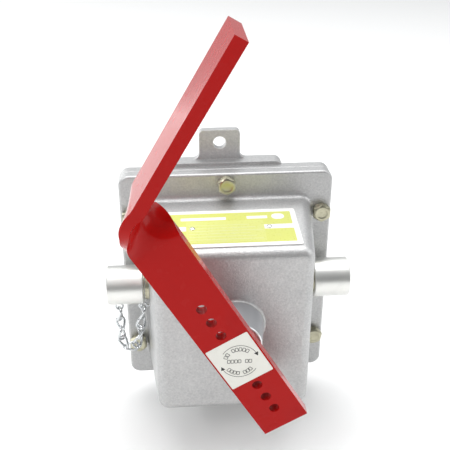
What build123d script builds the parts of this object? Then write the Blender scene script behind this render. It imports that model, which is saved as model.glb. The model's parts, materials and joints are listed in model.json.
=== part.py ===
from build123d import *
import math
import os

os.makedirs("parts", exist_ok=True)

# All sizes in millimetres. +Z is up, +Y points into the wall, -Y is the side that faces the user.
# The origin is the centre of the back face, which lies against the wall.

# ---- fits -------------------------------------------------------------------------------------
RUN = 0.05            # radial clearance of a shaft or plunger that moves in its bore
SEAT = 0.02           # gap round parts that are screwed or pressed together
AIR = 0.4             # gap between pieces that move apart
OVER = 1.0            # a cut passes the face it opens by this much
TOUCH = 0.01          # two places closer than this are one

# ---- base casting -----------------------------------------------------------------------------
FLANGE_W = 182.6      # width of both flanges
FLANGE_H = 204.0      # height of both flanges
FLANGE_R = 9.0        # corner radius of both flanges
BASE_FLANGE_T = 11.0
PAD_T = 10.0          # the pad stands this far behind the base flange
PAD_W = 110.0
PAD_RISE = 3.5        # the pad passes the flange by this much, top and bottom
PAD_R = 8.0
PAD_X = -4.0          # the pad and its lugs sit a little to the left
PAD_FLOOR = 6.0       # floor left behind the pocket
POCKET_WALL = 7.0
POCKET_H = 144.0
LUG_W = 35.3
LUG_T = 7.0
LUG_REACH = 11.35     # from the hole to the end of the lug
LUG_R = 4.0
LUG_BLEND = 6.0       # radius where a lug meets the pad
LUG_HOLE_R = 5.55
LUG_SPACING = 241.3   # from lug hole to lug hole
FLANGE_EDGE = 2.0     # rounding of the outer flange edges
JOINT_EDGE = 0.6      # chamfer on both sides of the joint between base and cover

# ---- cover casting ----------------------------------------------------------------------------
COVER_FLANGE_T = 11.0
BOX_DEPTH = 80.0      # the box stands this far in front of its flange
BOX_ROOT_W = 146.0
BOX_FRONT_W = 126.4
BOX_TOP_ROOT = 79.0
BOX_TOP_FRONT = 70.0
BOX_BOTTOM = -83.0
BOX_R = 10.0          # edges that run from the flange to the front
BOX_FRONT_R = 8.0     # edges round the front face
BOX_ROOT_R = 5.0      # fillet between box and flange
WALL = 6.5
SPOT_R = 8.4          # flat seat round each cover bolt
BOSS_ROOT_R = 24.2
BOSS_RIM_R = 19.4
BOSS_H = 27.5
BOSS_RIM_EDGE = 1.0
BOSS_FOOT_R = 2.0     # fillet between boss and box
BOSS_INNER_R = 16.0
BOSS_INNER_H = 5.5

# ---- cover bolts ------------------------------------------------------------------------------
BOLT_R = 3.97
BOLT_HEAD_AF = 14.3
BOLT_HEAD_H = 6.0
BOLT_CHAMFER_H = 0.7
BOLT_CHAMFER_W = 1.4
BOLT_PLAY = 0.43
BOLT_HOLE_R = BOLT_R + BOLT_PLAY
BOLT_TIP = 1.5        # the bolts end this far in front of the back of the base flange
BOLT_TOP_Z = 93.0
BOLT_SIDE_X = 82.5
BOLT_SIDE_Z = 65.0
WASHER_R = 7.1
WASHER_T = 1.8
WASHER_SPLIT = 1.2

# ---- flange o-ring ----------------------------------------------------------------------------
RING_W = 3.4
RING_H = 2.7
RING_SPAN_X = 144.0
RING_SPAN_Z = 162.0
RING_Z = -1.0
RING_R = 14.0

# ---- conduit entries --------------------------------------------------------------------------
ENTRY_Y = -54.0
ENTRY_Z = 10.4
NIPPLE_R = 13.3
NIPPLE_BORE_R = 10.4
NIPPLE_INNER_X = 54.0
NIPPLE_OUTER_X = 86.0
LOCKNUT_AF = 35.0
LOCKNUT_T = 4.5
LOCKNUT_SEAT = 1.5    # depth of the flat seat cut for a locknut
LOCKNUT_ROOM = 3.0    # the seat is this much wider than the locknut, all round
SLEEVE_R = 17.0       # outside radius of the cap and of the coupling
SLEEVE_X0 = 73.6
SLEEVE_X1 = 104.5
SLEEVE_EDGE = 0.8
CAP_END_T = 5.0
STOP_RING_R = 11.5    # bore of the ring inside the coupling that both pipes stop against
STOP_RING_T = 1.5
THREAD_GAP = 0.1      # between the nipple and the sleeve it screws into

# ---- lever ------------------------------------------------------------------------------------
SHAFT_Z = 3.3
LEVER_GAP = 8.6       # from the boss rim to the back of the lever
BAR_W = 38.1
BAR_T = 9.525
LOWER_TILT = 30.4     # the lower arm leans this far to the left of upright
LOWER_TAIL = 74.5     # from the shaft to the lower end
LOWER_REACH = 144.8   # from the shaft to the corner of the centre line
UPPER_REACH = 140.1   # from the corner to the upper end
UPPER_DIR = (0.498, -0.063, 0.864)
BEND_R = 13.5         # radius of the centre line round the corner
TWIST = 91.0
TWIST_FROM = 112.0    # the quarter turn starts and ends at these lengths from the shaft
TWIST_TO = 154.0
TWIST_STEPS = 14
HOLE_R = 3.97
HOLE_FIRST = 27.3
HOLE_PITCH = 13.75
HOLE_COUNT = 3        # on each side of the shaft
LABEL_L = 41.0
LABEL_W = 35.6
LABEL_T = 0.3
LABEL_R = 1.0

# ---- shaft, cam and spring --------------------------------------------------------------------
SHAFT_R = 7.9375
TENON_R = 6.35
TENON_L = 6.0
SCREW_R = 3.0
SCREW_HEAD_R = 6.0
SCREW_HEAD_H = 3.0
SCREW_L = 18.0
SCREW_SOCKET_R = 2.0
SCREW_SOCKET_D = 2.0
KEY_W = 3.2
KEY_END = 0.5         # a key is this much shorter than its seat at each end
BUSH_R = 11.0
SEAL_R = 16.6
SEAL_T = 8.6
SEAL_RECESS = 0.9     # the seal sits this far inside the rim
SEAL_DISH = 1.0       # depth of the dish in the seal
SEAL_LIP = 1.5        # flat left round the shaft
SEAL_BORDER = 2.0     # flat left at the outside
JOURNAL_R = 5.0
JOURNAL_END_Y = -40.0
CIRCLIP_T = 1.2
CIRCLIP_R = 10.2
CIRCLIP_GROOVE = 0.7
CIRCLIP_MOUTH = 0.7   # half the opening of the ring, in shaft radii
CAM_R = 18.0
CAM_T = 12.0
CAM_BACK_Y = -78.0
CAM_EDGE = 0.6
DIP_R = 6.0           # round dips in the cam rim, in line with the plungers
DIP_DEPTH = 2.5
SET_SCREW_R = 2.5
SET_SCREW_SINK = 1.5  # the screw stands this far inside the rim of the cam
SET_SOCKET_AF = 2.5
SET_SOCKET_D = 4.0    # from the rim of the cam to the floor of the socket
THRUST_T = 2.0
SPRING_MEAN_R = 9.5
SPRING_WIRE = 2.0
SPRING_TURNS = 5
SWING = 35.0          # the lever turns this far each way
STOP_PIN_R = 2.5
STOP_PIN_RADIUS = 14.0
STOP_GAP = 0.4

# ---- bracket and switches ---------------------------------------------------------------------
PLATE_Y = -50.0       # front of the bracket plate
PLATE_T = 3.0
PLATE_W = 84.0
PLATE_H = 52.0
BRACKET_X = -2.0      # the bracket stands in the pocket, a little left of the shaft
FOOT_L = 12.0
REAR_BUSH_R = 8.0
REAR_FLANGE_R = 11.0
REAR_FLANGE_T = 1.5
REAR_BUSH_L = 7.5
SWITCH_X = 25.0       # inner face of each switch
SWITCH_D = 15.9
SWITCH_L = 27.8
SWITCH_T = 10.3
SWITCH_HOLE_R = 1.6
SWITCH_HOLE_Z = 11.1
SWITCH_HOLE_X = 12.9
POST_R = 3.2
PLUNGER_R = 1.6
PLUNGER_TRAVEL = 1.0
PLUNGER_ROUND = 1.0
PLUNGER_IN = 5.0
TERMINAL_W = 4.8
TERMINAL_T = 0.8
TERMINAL_L = 6.0
TERMINAL_PITCH = 9.0
SWITCH_EDGE = 1.0
SWITCH_SCREW_R = 1.4
SWITCH_SCREW_HEAD_R = 2.8
SWITCH_SCREW_HEAD_H = 1.8
SWITCH_SCREW_IN = 7.0  # length of the screw in its post
TAP_CUT = 0.1         # a tapped hole in a post is this much smaller than the clearance hole
M4_R = 2.0
M4_HEAD_R = 3.8
M4_HEAD_H = 2.6
M4_L = 7.0
M4_PLAY = 0.2         # play of a foot screw in the bracket
SLOT_HALF = 0.5       # half the width of a screw slot
SLOT_DEPTH = 0.4      # depth of a screw slot, as a share of the head
HEAD_ROUND = 0.5      # rounding of a pan head, as a share of the head
FOOT_SCREW_Z = 14.0
GROUND_X = 18.0
GROUND_Z = -58.0
GROUND_R = 2.5
GROUND_HEAD_R = 5.0
GROUND_HEAD_H = 3.2
GROUND_GAP = 1.5      # room for a wire end under the head

# ---- nameplate --------------------------------------------------------------------------------
NAME_W = 110.0
NAME_D = 52.0
NAME_T = 0.8
NAME_R = 2.0
NAME_FROM_ROOT = 20.0  # clear space between flange and plate, along the slope
RIVET_X = 31.0
RIVET_R = 1.3
RIVET_HEAD_R = 2.3
RIVET_HEAD_H = 1.0
RIVET_L = 4.0
RIVET_ROUND = 0.8     # rounding of a rivet head

# ---- chain ------------------------------------------------------------------------------------
EYE_R = 3.2           # centre line of the eye
EYE_WIRE = 1.6
EYE_SHANK_IN = 3.0
EYE_NECK = 1.0
CAP_EYE_X = -96.0
LINK_WIRE = 2.0
LINK_W = 9.0
LINK_COUNT = 9
CHAIN_DEPTH = 43.0    # from the eyes to the lowest joint of the chain
CHAIN_LEAN = 9.0      # the strand at the cover leans this far from upright
LINK_JOINT = 0.62     # half gap between two hooked wires, in wire diameters

# ---- places that follow from the sizes above --------------------------------------------------
BASE_BACK = -PAD_T
BASE_FRONT = BASE_BACK - BASE_FLANGE_T
FLANGE_FRONT = BASE_FRONT - COVER_FLANGE_T
BOX_FRONT = FLANGE_FRONT - BOX_DEPTH
RIM_Y = BOX_FRONT - BOSS_H
LEVER_BACK = RIM_Y - LEVER_GAP
LEVER_FRONT = LEVER_BACK - BAR_T
INNER_FRONT = BOX_FRONT + WALL
BUSH_FRONT = RIM_Y + SEAL_RECESS + SEAL_T
BUSH_BACK = INNER_FRONT + BOSS_INNER_H
BOLT_PLACES = [(0, BOLT_TOP_Z), (0, -BOLT_TOP_Z)]
BOLT_PLACES += [(sx * BOLT_SIDE_X, sz * BOLT_SIDE_Z) for sx in (-1, 1) for sz in (-1, 1)]
CAM_FRONT_Y = CAM_BACK_Y - CAM_T


# ---- helpers ----------------------------------------------------------------------------------
def front_plane(y, x=0.0, z=0.0):
    """Work plane that faces the user, with its own y pointing up."""
    return Plane(origin=(x, y, z), x_dir=(1, 0, 0), z_dir=(0, -1, 0))


def slab(y_back, y_front, width, height, radius, x=0.0, z=0.0):
    """Rounded rectangle from y_back forward to y_front."""
    outline = front_plane(y_back, x, z) * RectangleRounded(width, height, radius)
    return extrude(outline, amount=y_back - y_front)


def rod_y(radius, y0, y1, x=0.0, z=0.0):
    """Cylinder along Y."""
    return Pos(x, (y0 + y1) / 2, z) * Rot(90, 0, 0) * Cylinder(radius, abs(y1 - y0))


def rod_x(radius, x0, x1, y=0.0, z=0.0):
    """Cylinder along X."""
    return Pos((x0 + x1) / 2, y, z) * Rot(0, 90, 0) * Cylinder(radius, abs(x1 - x0))


def rod_z(radius, z0, z1, x=0.0, y=0.0):
    """Cylinder along Z."""
    return Pos(x, y, (z0 + z1) / 2) * Cylinder(radius, abs(z1 - z0))


def block(x0, x1, y0, y1, z0, z1):
    """Box between two corners."""
    return Pos((x0 + x1) / 2, (y0 + y1) / 2, (z0 + z1) / 2) * Box(abs(x1 - x0), abs(y1 - y0), abs(z1 - z0))


def hexagon_y(across_flats, y_back, y_front, x=0.0, z=0.0):
    """Hexagonal prism along Y."""
    outline = front_plane(y_back, x, z) * RegularPolygon(across_flats / 2, 6, major_radius=False)
    return extrude(outline, amount=y_back - y_front)


def turned(part):
    """Turn a part about the shaft, from lever upright to lever as it rests."""
    return Pos(0, 0, SHAFT_Z) * Rot(0, -LOWER_TILT, 0) * Pos(0, 0, -SHAFT_Z) * part


def save(part, name):
    """Write one node."""
    part.label = name
    export_step(part, os.path.join("parts", name + ".step"))


# ---- castings ---------------------------------------------------------------------------------
def pad_pocket_x():
    """Left and right inner faces of the pocket in the pad."""
    half = PAD_W / 2 - POCKET_WALL
    return PAD_X - half, PAD_X + half


def make_base():
    """Base casting: flange, pad, lugs, pocket and tapped holes."""
    pad_h = FLANGE_H + 2 * PAD_RISE
    flange = slab(BASE_BACK, BASE_FRONT, FLANGE_W, FLANGE_H, FLANGE_R)
    flange = fillet(flange.edges().group_by(Axis.Y)[-1], FLANGE_EDGE)
    flange = chamfer(flange.edges().group_by(Axis.Y)[0], JOINT_EDGE)
    pad = slab(0, BASE_BACK - PAD_T / 2, PAD_W, pad_h, PAD_R, PAD_X)
    lug_h = LUG_SPACING + 2 * LUG_REACH
    lugs = slab(0, -LUG_T, LUG_W, lug_h, LUG_R, PAD_X)
    for side in (-1, 1):
        for end in (-1, 1):
            x_lug = PAD_X + side * LUG_W / 2
            z_pad = end * pad_h / 2
            corner = block(x_lug, x_lug + side * LUG_BLEND, -LUG_T, 0, z_pad, z_pad + end * LUG_BLEND)
            corner -= rod_y(LUG_BLEND, -LUG_T - OVER, 1, x_lug + side * LUG_BLEND, z_pad + end * LUG_BLEND)
            lugs += corner
    body = flange + pad + lugs
    x0, x1 = pad_pocket_x()
    pocket = slab(-PAD_FLOOR, BASE_FRONT - OVER, x1 - x0, POCKET_H, PAD_R, (x0 + x1) / 2)
    body -= pocket
    groove = slab(BASE_FRONT + RING_H, BASE_FRONT - OVER, RING_SPAN_X + RING_W, RING_SPAN_Z + RING_W,
                  RING_R + RING_W / 2, 0, RING_Z)
    groove -= slab(BASE_FRONT + RING_H, BASE_FRONT - OVER, RING_SPAN_X - RING_W, RING_SPAN_Z - RING_W,
                   RING_R - RING_W / 2, 0, RING_Z)
    body -= groove
    for x, z in BOLT_PLACES:
        body -= rod_y(BOLT_R + SEAT, BASE_FRONT - OVER, BASE_BACK - BOLT_TIP + SEAT, x, z)
    for end in (-1, 1):
        body -= rod_y(LUG_HOLE_R, -LUG_T - OVER, 1, PAD_X, end * LUG_SPACING / 2)
    for x, z in foot_screw_places():
        body -= rod_y(M4_R + SEAT, -PAD_FLOOR - OVER, foot_screw_tip() + SEAT, x, z)
    body -= rod_y(GROUND_R + SEAT, -PAD_FLOOR - OVER, foot_screw_tip() + SEAT, GROUND_X, GROUND_Z)
    return body


def box_outline(y, inset=0.0):
    """Outline of the cover box at depth y, or its inside when inset is the wall."""
    share = (FLANGE_FRONT - y) / BOX_DEPTH
    half_w = (BOX_ROOT_W + (BOX_FRONT_W - BOX_ROOT_W) * share) / 2 - inset
    top = BOX_TOP_ROOT + (BOX_TOP_FRONT - BOX_TOP_ROOT) * share - inset
    bottom = BOX_BOTTOM + inset
    outline = RectangleRounded(2 * half_w, top - bottom, BOX_R - inset / 2)
    return front_plane(y, 0, (top + bottom) / 2) * outline


def make_cover():
    """Cover casting: flange, drafted hollow box, front boss and side holes."""
    flange = slab(BASE_FRONT, FLANGE_FRONT, FLANGE_W, FLANGE_H, FLANGE_R)
    flange = chamfer(flange.edges().group_by(Axis.Y)[-1], JOINT_EDGE)
    box = loft([box_outline(FLANGE_FRONT + OVER).face(), box_outline(BOX_FRONT).face()])
    box = fillet(box.edges().group_by(Axis.Y)[0], BOX_FRONT_R)
    boss = Pos(0, (BOX_FRONT + RIM_Y) / 2, SHAFT_Z) * Rot(90, 0, 0) * Cone(BOSS_ROOT_R, BOSS_RIM_R, BOSS_H)
    boss = fillet(boss.edges().group_by(Axis.Y)[0], BOSS_RIM_EDGE)
    body = flange + box
    root = [e for e in body.edges() if on_root(e)]
    body = fillet(root, BOX_ROOT_R)
    front_edges = [e for e in body.edges() if on_flange_rim(e)]
    body = fillet(front_edges, FLANGE_EDGE)
    body += boss
    body = fillet([e for e in body.edges() if on_boss_foot(e)], BOSS_FOOT_R)
    cavity = loft([box_outline(FLANGE_FRONT, WALL).face(), box_outline(INNER_FRONT, WALL).face()])
    mouth = extrude(box_outline(FLANGE_FRONT, WALL), amount=-COVER_FLANGE_T - OVER)
    body -= cavity + mouth
    body += rod_y(BOSS_INNER_R, BUSH_BACK, INNER_FRONT - OVER, 0, SHAFT_Z)
    body -= rod_y(SEAL_R, RIM_Y - OVER, BUSH_FRONT, 0, SHAFT_Z)
    body -= rod_y(BUSH_R, BUSH_FRONT - OVER, BUSH_BACK + OVER, 0, SHAFT_Z)
    for x, z in BOLT_PLACES:
        body -= rod_y(BOLT_HOLE_R, BASE_FRONT + OVER, FLANGE_FRONT - OVER, x, z)
        body -= rod_y(SPOT_R, FLANGE_FRONT, FLANGE_FRONT - BOX_ROOT_R - OVER, x, z)
    for side in (-1, 1):
        body -= rod_x(NIPPLE_R + SEAT, side * NIPPLE_INNER_X, side * NIPPLE_OUTER_X, ENTRY_Y, ENTRY_Z)
        seat_r = LOCKNUT_AF / 2 + LOCKNUT_ROOM
        body -= rod_x(seat_r, side * NIPPLE_INNER_X, side * locknut_x(), ENTRY_Y, ENTRY_Z)
    for x, y in rivet_places():
        body -= on_slope(x, y) * Cylinder(RIVET_R + SEAT, 2 * RIVET_L + 2 * SEAT)
    body -= rod_x(EYE_WIRE / 2 + SEAT, cover_eye_wall_x() - OVER, cover_eye_wall_x() + EYE_SHANK_IN + SEAT,
                  ENTRY_Y, eye_z())
    return body


def on_root(edge):
    """True for the edges where the box meets the flange."""
    inside = all(abs(v.X) < BOX_ROOT_W / 2 + OVER and BOX_BOTTOM - OVER < v.Z < BOX_TOP_ROOT + OVER
                 for v in edge.vertices())
    return inside and all(abs(v.Y - FLANGE_FRONT) < TOUCH for v in edge.vertices())


def on_boss_foot(edge):
    """True for the circle where the boss meets the front of the box."""
    return all(abs(v.Y - BOX_FRONT) < TOUCH and math.hypot(v.X, v.Z - SHAFT_Z) < BOSS_ROOT_R + OVER
               for v in edge.vertices())


def on_flange_rim(edge):
    """True for the front edges round the outside of the cover flange."""
    flat = all(abs(v.Y - FLANGE_FRONT) < TOUCH for v in edge.vertices())
    outer = all(abs(v.X) > FLANGE_W / 2 - TOUCH or abs(v.Z) > FLANGE_H / 2 - TOUCH for v in edge.vertices())
    return flat and outer


# ---- cover fasteners --------------------------------------------------------------------------
def make_cover_bolts():
    """Six hexagon bolts."""
    head_back = FLANGE_FRONT - WASHER_T
    head_front = head_back - BOLT_HEAD_H
    bolts = []
    for x, z in BOLT_PLACES:
        head = hexagon_y(BOLT_HEAD_AF, head_back, head_front, x, z)
        dome = rod_y(BOLT_HEAD_AF / 2 / math.cos(math.radians(30)), head_back, head_front, x, z)
        dome = chamfer(dome.edges().group_by(Axis.Y)[0], BOLT_CHAMFER_H, BOLT_CHAMFER_W)
        shank = rod_y(BOLT_R, head_back, BASE_BACK - BOLT_TIP, x, z)
        bolts.append((head & dome) + shank)
    return Compound(children=bolts)


def make_cover_washers():
    """Six split washers."""
    washers = []
    for x, z in BOLT_PLACES:
        ring = rod_y(WASHER_R, FLANGE_FRONT, FLANGE_FRONT - WASHER_T, x, z)
        ring -= rod_y(BOLT_R + SEAT, FLANGE_FRONT + OVER, FLANGE_FRONT - WASHER_T - OVER, x, z)
        ring -= block(x, x + WASHER_R + OVER, FLANGE_FRONT - WASHER_T - OVER, FLANGE_FRONT + OVER,
                      z - WASHER_SPLIT / 2, z + WASHER_SPLIT / 2)
        washers.append(ring)
    return Compound(children=washers)


def make_o_ring():
    """Seal cord in the groove of the base flange."""
    depth = RING_H - SEAT
    width = RING_W - 2 * SEAT
    ring = slab(BASE_FRONT + depth, BASE_FRONT, RING_SPAN_X + width, RING_SPAN_Z + width,
                RING_R + width / 2, 0, RING_Z)
    ring -= slab(BASE_FRONT + depth + OVER, BASE_FRONT - OVER, RING_SPAN_X - width, RING_SPAN_Z - width,
                 RING_R - width / 2, 0, RING_Z)
    return ring


# ---- nameplate --------------------------------------------------------------------------------
def slope_angle():
    """Fall of the top of the box, in degrees."""
    return math.degrees(math.atan2(BOX_TOP_ROOT - BOX_TOP_FRONT, BOX_DEPTH))


def on_slope(x, run):
    """Place on the sloping top, run millimetres in front of the flange along the slope."""
    angle = math.radians(slope_angle())
    y = FLANGE_FRONT - run * math.cos(angle)
    z = BOX_TOP_ROOT - run * math.sin(angle)
    return Pos(x, y, z) * Rot(slope_angle(), 0, 0)


def rivet_places():
    """Both rivets, as x and distance along the slope."""
    run = NAME_FROM_ROOT + NAME_D / 2
    return [(-RIVET_X, run), (RIVET_X, run)]


def make_nameplate():
    """Thin plate on the sloping top, with two rivet holes."""
    plate = RectangleRounded(NAME_W, NAME_D, NAME_R)
    plate = extrude(plate, amount=NAME_T)
    for x, _ in rivet_places():
        plate -= Pos(x, 0, 0) * Cylinder(RIVET_R + SEAT, 4 * NAME_T)
    return on_slope(0, NAME_FROM_ROOT + NAME_D / 2) * plate


def make_rivets():
    """Two round-headed drive rivets."""
    rivets = []
    for x, run in rivet_places():
        head = Pos(0, 0, NAME_T + RIVET_HEAD_H / 2) * Cylinder(RIVET_HEAD_R, RIVET_HEAD_H)
        head = fillet(head.edges().group_by(Axis.Z)[-1], RIVET_ROUND)
        shank = Pos(0, 0, (NAME_T - RIVET_L) / 2) * Cylinder(RIVET_R, NAME_T + RIVET_L)
        rivets.append(on_slope(x, run) * (head + shank))
    return Compound(children=rivets)


# ---- conduit entries --------------------------------------------------------------------------
def wall_x(y):
    """Outer face of the side wall at depth y."""
    share = (FLANGE_FRONT - y) / BOX_DEPTH
    return (BOX_ROOT_W + (BOX_FRONT_W - BOX_ROOT_W) * share) / 2


def locknut_x():
    """Flat inside seat of the locknut."""
    return wall_x(ENTRY_Y) - WALL - LOCKNUT_SEAT


def make_nipple(side):
    """Threaded nipple through the side wall."""
    inner, outer = side * NIPPLE_INNER_X, side * NIPPLE_OUTER_X
    tube = rod_x(NIPPLE_R, inner, outer, ENTRY_Y, ENTRY_Z)
    return tube - rod_x(NIPPLE_BORE_R, inner - side * OVER, outer + side * OVER, ENTRY_Y, ENTRY_Z)


def make_locknut(side):
    """Locknut on the inner end of a nipple."""
    plane = Plane(origin=(side * locknut_x(), ENTRY_Y, ENTRY_Z), x_dir=(0, 1, 0), z_dir=(-side, 0, 0))
    nut = extrude(plane * RegularPolygon(LOCKNUT_AF / 2, 6, major_radius=False), amount=LOCKNUT_T)
    return nut - rod_x(NIPPLE_R + SEAT, side * NIPPLE_INNER_X, side * NIPPLE_OUTER_X, ENTRY_Y, ENTRY_Z)


def make_sleeve(side):
    """Machined round sleeve that screws on a nipple."""
    sleeve = rod_x(SLEEVE_R, side * SLEEVE_X0, side * SLEEVE_X1, ENTRY_Y, ENTRY_Z)
    return chamfer(sleeve.edges().filter_by(GeomType.CIRCLE), SLEEVE_EDGE)


def make_cap():
    """Left sleeve, closed at its outer end, with a tapped hole for the eye screw."""
    bore = rod_x(NIPPLE_R + THREAD_GAP, -SLEEVE_X0 + OVER, -SLEEVE_X1 + CAP_END_T, ENTRY_Y, ENTRY_Z)
    cap = make_sleeve(-1) - bore
    bottom = ENTRY_Z - SLEEVE_R
    return cap - rod_z(EYE_WIRE / 2 + SEAT, bottom - OVER, bottom + EYE_SHANK_IN + SEAT, CAP_EYE_X, ENTRY_Y)


def make_coupling():
    """Right sleeve, open at its outer end for the user's conduit."""
    stop = NIPPLE_OUTER_X + THREAD_GAP
    coupling = make_sleeve(1) - rod_x(NIPPLE_R + THREAD_GAP, SLEEVE_X0 - OVER, stop, ENTRY_Y, ENTRY_Z)
    coupling -= rod_x(NIPPLE_R + THREAD_GAP, stop + STOP_RING_T, SLEEVE_X1 + OVER, ENTRY_Y, ENTRY_Z)
    return coupling - rod_x(STOP_RING_R, stop - OVER, SLEEVE_X1, ENTRY_Y, ENTRY_Z)


# ---- chain ------------------------------------------------------------------------------------
def eye_z():
    """Height of both eye centres."""
    return ENTRY_Z - SLEEVE_R - EYE_NECK - EYE_WIRE / 2 - EYE_R


def cover_eye_wall_x():
    """Outer face of the left wall."""
    return -wall_x(ENTRY_Y)


def cover_eye_x():
    """Centre of the eye beside the left wall."""
    return cover_eye_wall_x() - EYE_NECK - EYE_WIRE / 2 - EYE_R


def eye_ring(x):
    """Ring of an eye screw, flat to the front."""
    return Pos(x, ENTRY_Y, eye_z()) * Rot(90, 0, 0) * Torus(EYE_R, EYE_WIRE / 2)


def make_cap_eye():
    """Eye screw under the cap."""
    bottom = ENTRY_Z - SLEEVE_R
    shank = rod_z(EYE_WIRE / 2, eye_z() + EYE_R, bottom + EYE_SHANK_IN, CAP_EYE_X, ENTRY_Y)
    return eye_ring(CAP_EYE_X) + shank


def make_cover_eye():
    """Eye screw in the left wall."""
    x = cover_eye_x()
    shank = rod_x(EYE_WIRE / 2, x + EYE_R, cover_eye_wall_x() + EYE_SHANK_IN, ENTRY_Y, eye_z())
    return eye_ring(x) + shank


def chain_joints():
    """Points where two links hook into each other, from the cap eye to the cover eye."""
    hook = EYE_WIRE / 2 + LINK_WIRE / 2 + AIR
    top = eye_z() - EYE_R + hook - LINK_JOINT * LINK_WIRE
    x_left, x_right = CAP_EYE_X, cover_eye_x()
    lean = math.radians(CHAIN_LEAN)
    width = x_right - x_left
    radius = width * math.cos(lean) - CHAIN_DEPTH * math.sin(lean)
    radius /= 1 + math.cos(lean) - math.sin(lean)
    left = CHAIN_DEPTH - radius
    bow = (math.pi - lean) * radius
    bow_end_x = x_left + radius * (1 + math.cos(lean))
    right = (x_right - bow_end_x) / math.sin(lean)
    points = []
    for index in range(LINK_COUNT + 1):
        run = (left + bow + right) * index / LINK_COUNT
        if run < left:
            points.append(Vector(x_left, ENTRY_Y, top - run))
        elif run > left + bow:
            rest = left + bow + right - run
            points.append(Vector(x_right - rest * math.sin(lean), ENTRY_Y, top - rest * math.cos(lean)))
        else:
            angle = (run - left) / radius
            x = x_left + radius * (1 - math.cos(angle))
            points.append(Vector(x, ENTRY_Y, top - left - radius * math.sin(angle)))
    return points


def make_link(start, end, flat):
    """One closed oval link between two joints; flat links face the front."""
    span = (end - start).length + 2 * LINK_JOINT * LINK_WIRE
    bend = (LINK_W - LINK_WIRE) / 2
    along = (end - start).normalized()
    face = Vector(0, -1, 0) if flat else Vector(0, 1, 0).cross(along)
    plane = Plane(origin=(start + end) * 0.5, x_dir=along, z_dir=face)
    path = plane.location * SlotOverall(span, 2 * bend).face().outer_wire()
    section = Plane(origin=path @ 0, z_dir=path % 0) * Circle(LINK_WIRE / 2)
    return sweep(section, path=path)


def make_chain():
    """Retaining chain between the two eyes."""
    joints = chain_joints()
    pairs = zip(joints[:-1], joints[1:])
    return Compound(children=[make_link(a, b, index % 2 == 1) for index, (a, b) in enumerate(pairs)])


# ---- lever ------------------------------------------------------------------------------------
def lower_dir():
    """Direction of the lower arm, from the shaft up to the corner."""
    tilt = math.radians(LOWER_TILT)
    return Vector(-math.sin(tilt), 0, math.cos(tilt))


def lower_side():
    """Direction across the lower arm, to its right edge."""
    tilt = math.radians(LOWER_TILT)
    return Vector(math.cos(tilt), 0, math.sin(tilt))


def bar_frame(run):
    """Centre, direction and right-hand side of the bar, run millimetres above the shaft."""
    low = lower_dir()
    high = Vector(*UPPER_DIR).normalized()
    pole = low.cross(high).normalized()
    turn = math.radians(low.get_angle(high))
    inset = BEND_R * math.tan(turn / 2)
    side = pole.cross(low)
    start = Vector(0, LEVER_BACK - BAR_T / 2, SHAFT_Z)
    bend_start = LOWER_REACH - inset
    angle = min(max((run - bend_start) / BEND_R, 0.0), turn)
    along = low * math.cos(angle) + side * math.sin(angle)
    centre = start + low * min(run, bend_start)
    centre += (low * math.sin(angle) + side * (1 - math.cos(angle))) * BEND_R
    centre += high * max(run - bend_start - BEND_R * turn, 0.0)
    share = min(max((run - TWIST_FROM) / (TWIST_TO - TWIST_FROM), 0.0), 1.0)
    twist = math.radians(TWIST) * share * share * (3 - 2 * share)
    first = math.atan2(lower_side().dot(pole), lower_side().dot(side))
    across = pole.cross(along) * math.cos(first + twist) + pole * math.sin(first + twist)
    return centre, along, across


def bar_length():
    """Length of the centre line above the shaft."""
    turn = math.radians(lower_dir().get_angle(Vector(*UPPER_DIR)))
    return LOWER_REACH + UPPER_REACH - 2 * BEND_R * math.tan(turn / 2) + BEND_R * turn


def bar_section(run):
    """Cross-section of the bar, run millimetres above the shaft."""
    centre, along, across = bar_frame(run)
    return (Plane(origin=centre, x_dir=across, z_dir=along) * Rectangle(BAR_W, BAR_T)).face()


def make_lever():
    """Flat bar with a quarter twist and a bend, six holes and a socket for the shaft."""
    lower = extrude(bar_section(TWIST_FROM), amount=-(LOWER_TAIL + TWIST_FROM))
    runs = [TWIST_FROM + (TWIST_TO - TWIST_FROM) * i / TWIST_STEPS for i in range(TWIST_STEPS + 1)]
    middle = loft([bar_section(run) for run in runs])
    upper = extrude(bar_section(TWIST_TO), amount=bar_length() - TWIST_TO)
    bar = lower + middle + upper
    for sign in (-1, 1):
        for index in range(HOLE_COUNT):
            place = lower_dir() * (sign * (HOLE_FIRST + HOLE_PITCH * index))
            bar -= rod_y(HOLE_R, LEVER_FRONT - OVER, LEVER_BACK + OVER, place.X, SHAFT_Z + place.Z)
    bar -= rod_y(TENON_R + SEAT, LEVER_BACK - TENON_L, LEVER_BACK + OVER, 0, SHAFT_Z)
    bar -= rod_y(SCREW_R + SEAT, LEVER_FRONT - OVER, LEVER_BACK, 0, SHAFT_Z)
    bar -= countersink(SEAT)
    return bar - key_block(SEAT)


def countersink(gap):
    """Cone of the lever screw's head."""
    cone = Cone(SCREW_R + gap, SCREW_HEAD_R + gap, SCREW_HEAD_H)
    return Pos(0, LEVER_FRONT + SCREW_HEAD_H / 2, SHAFT_Z) * Rot(90, 0, 0) * cone


def key_block(gap):
    """Key between tenon and lever, standing above the shaft before the lever is turned."""
    low = TENON_R - KEY_W / 2
    key = block(-KEY_W / 2 - gap, KEY_W / 2 + gap, LEVER_BACK - TENON_L + KEY_END, LEVER_BACK,
                SHAFT_Z + low - gap, SHAFT_Z + low + KEY_W + gap)
    return turned(key)


def make_label():
    """Label plate on the front of the lever."""
    plane = Plane(origin=(0, LEVER_FRONT, SHAFT_Z), x_dir=tuple(lower_side()), z_dir=(0, -1, 0))
    return extrude(plane * RectangleRounded(LABEL_W, LABEL_L, LABEL_R), amount=LABEL_T)


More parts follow.
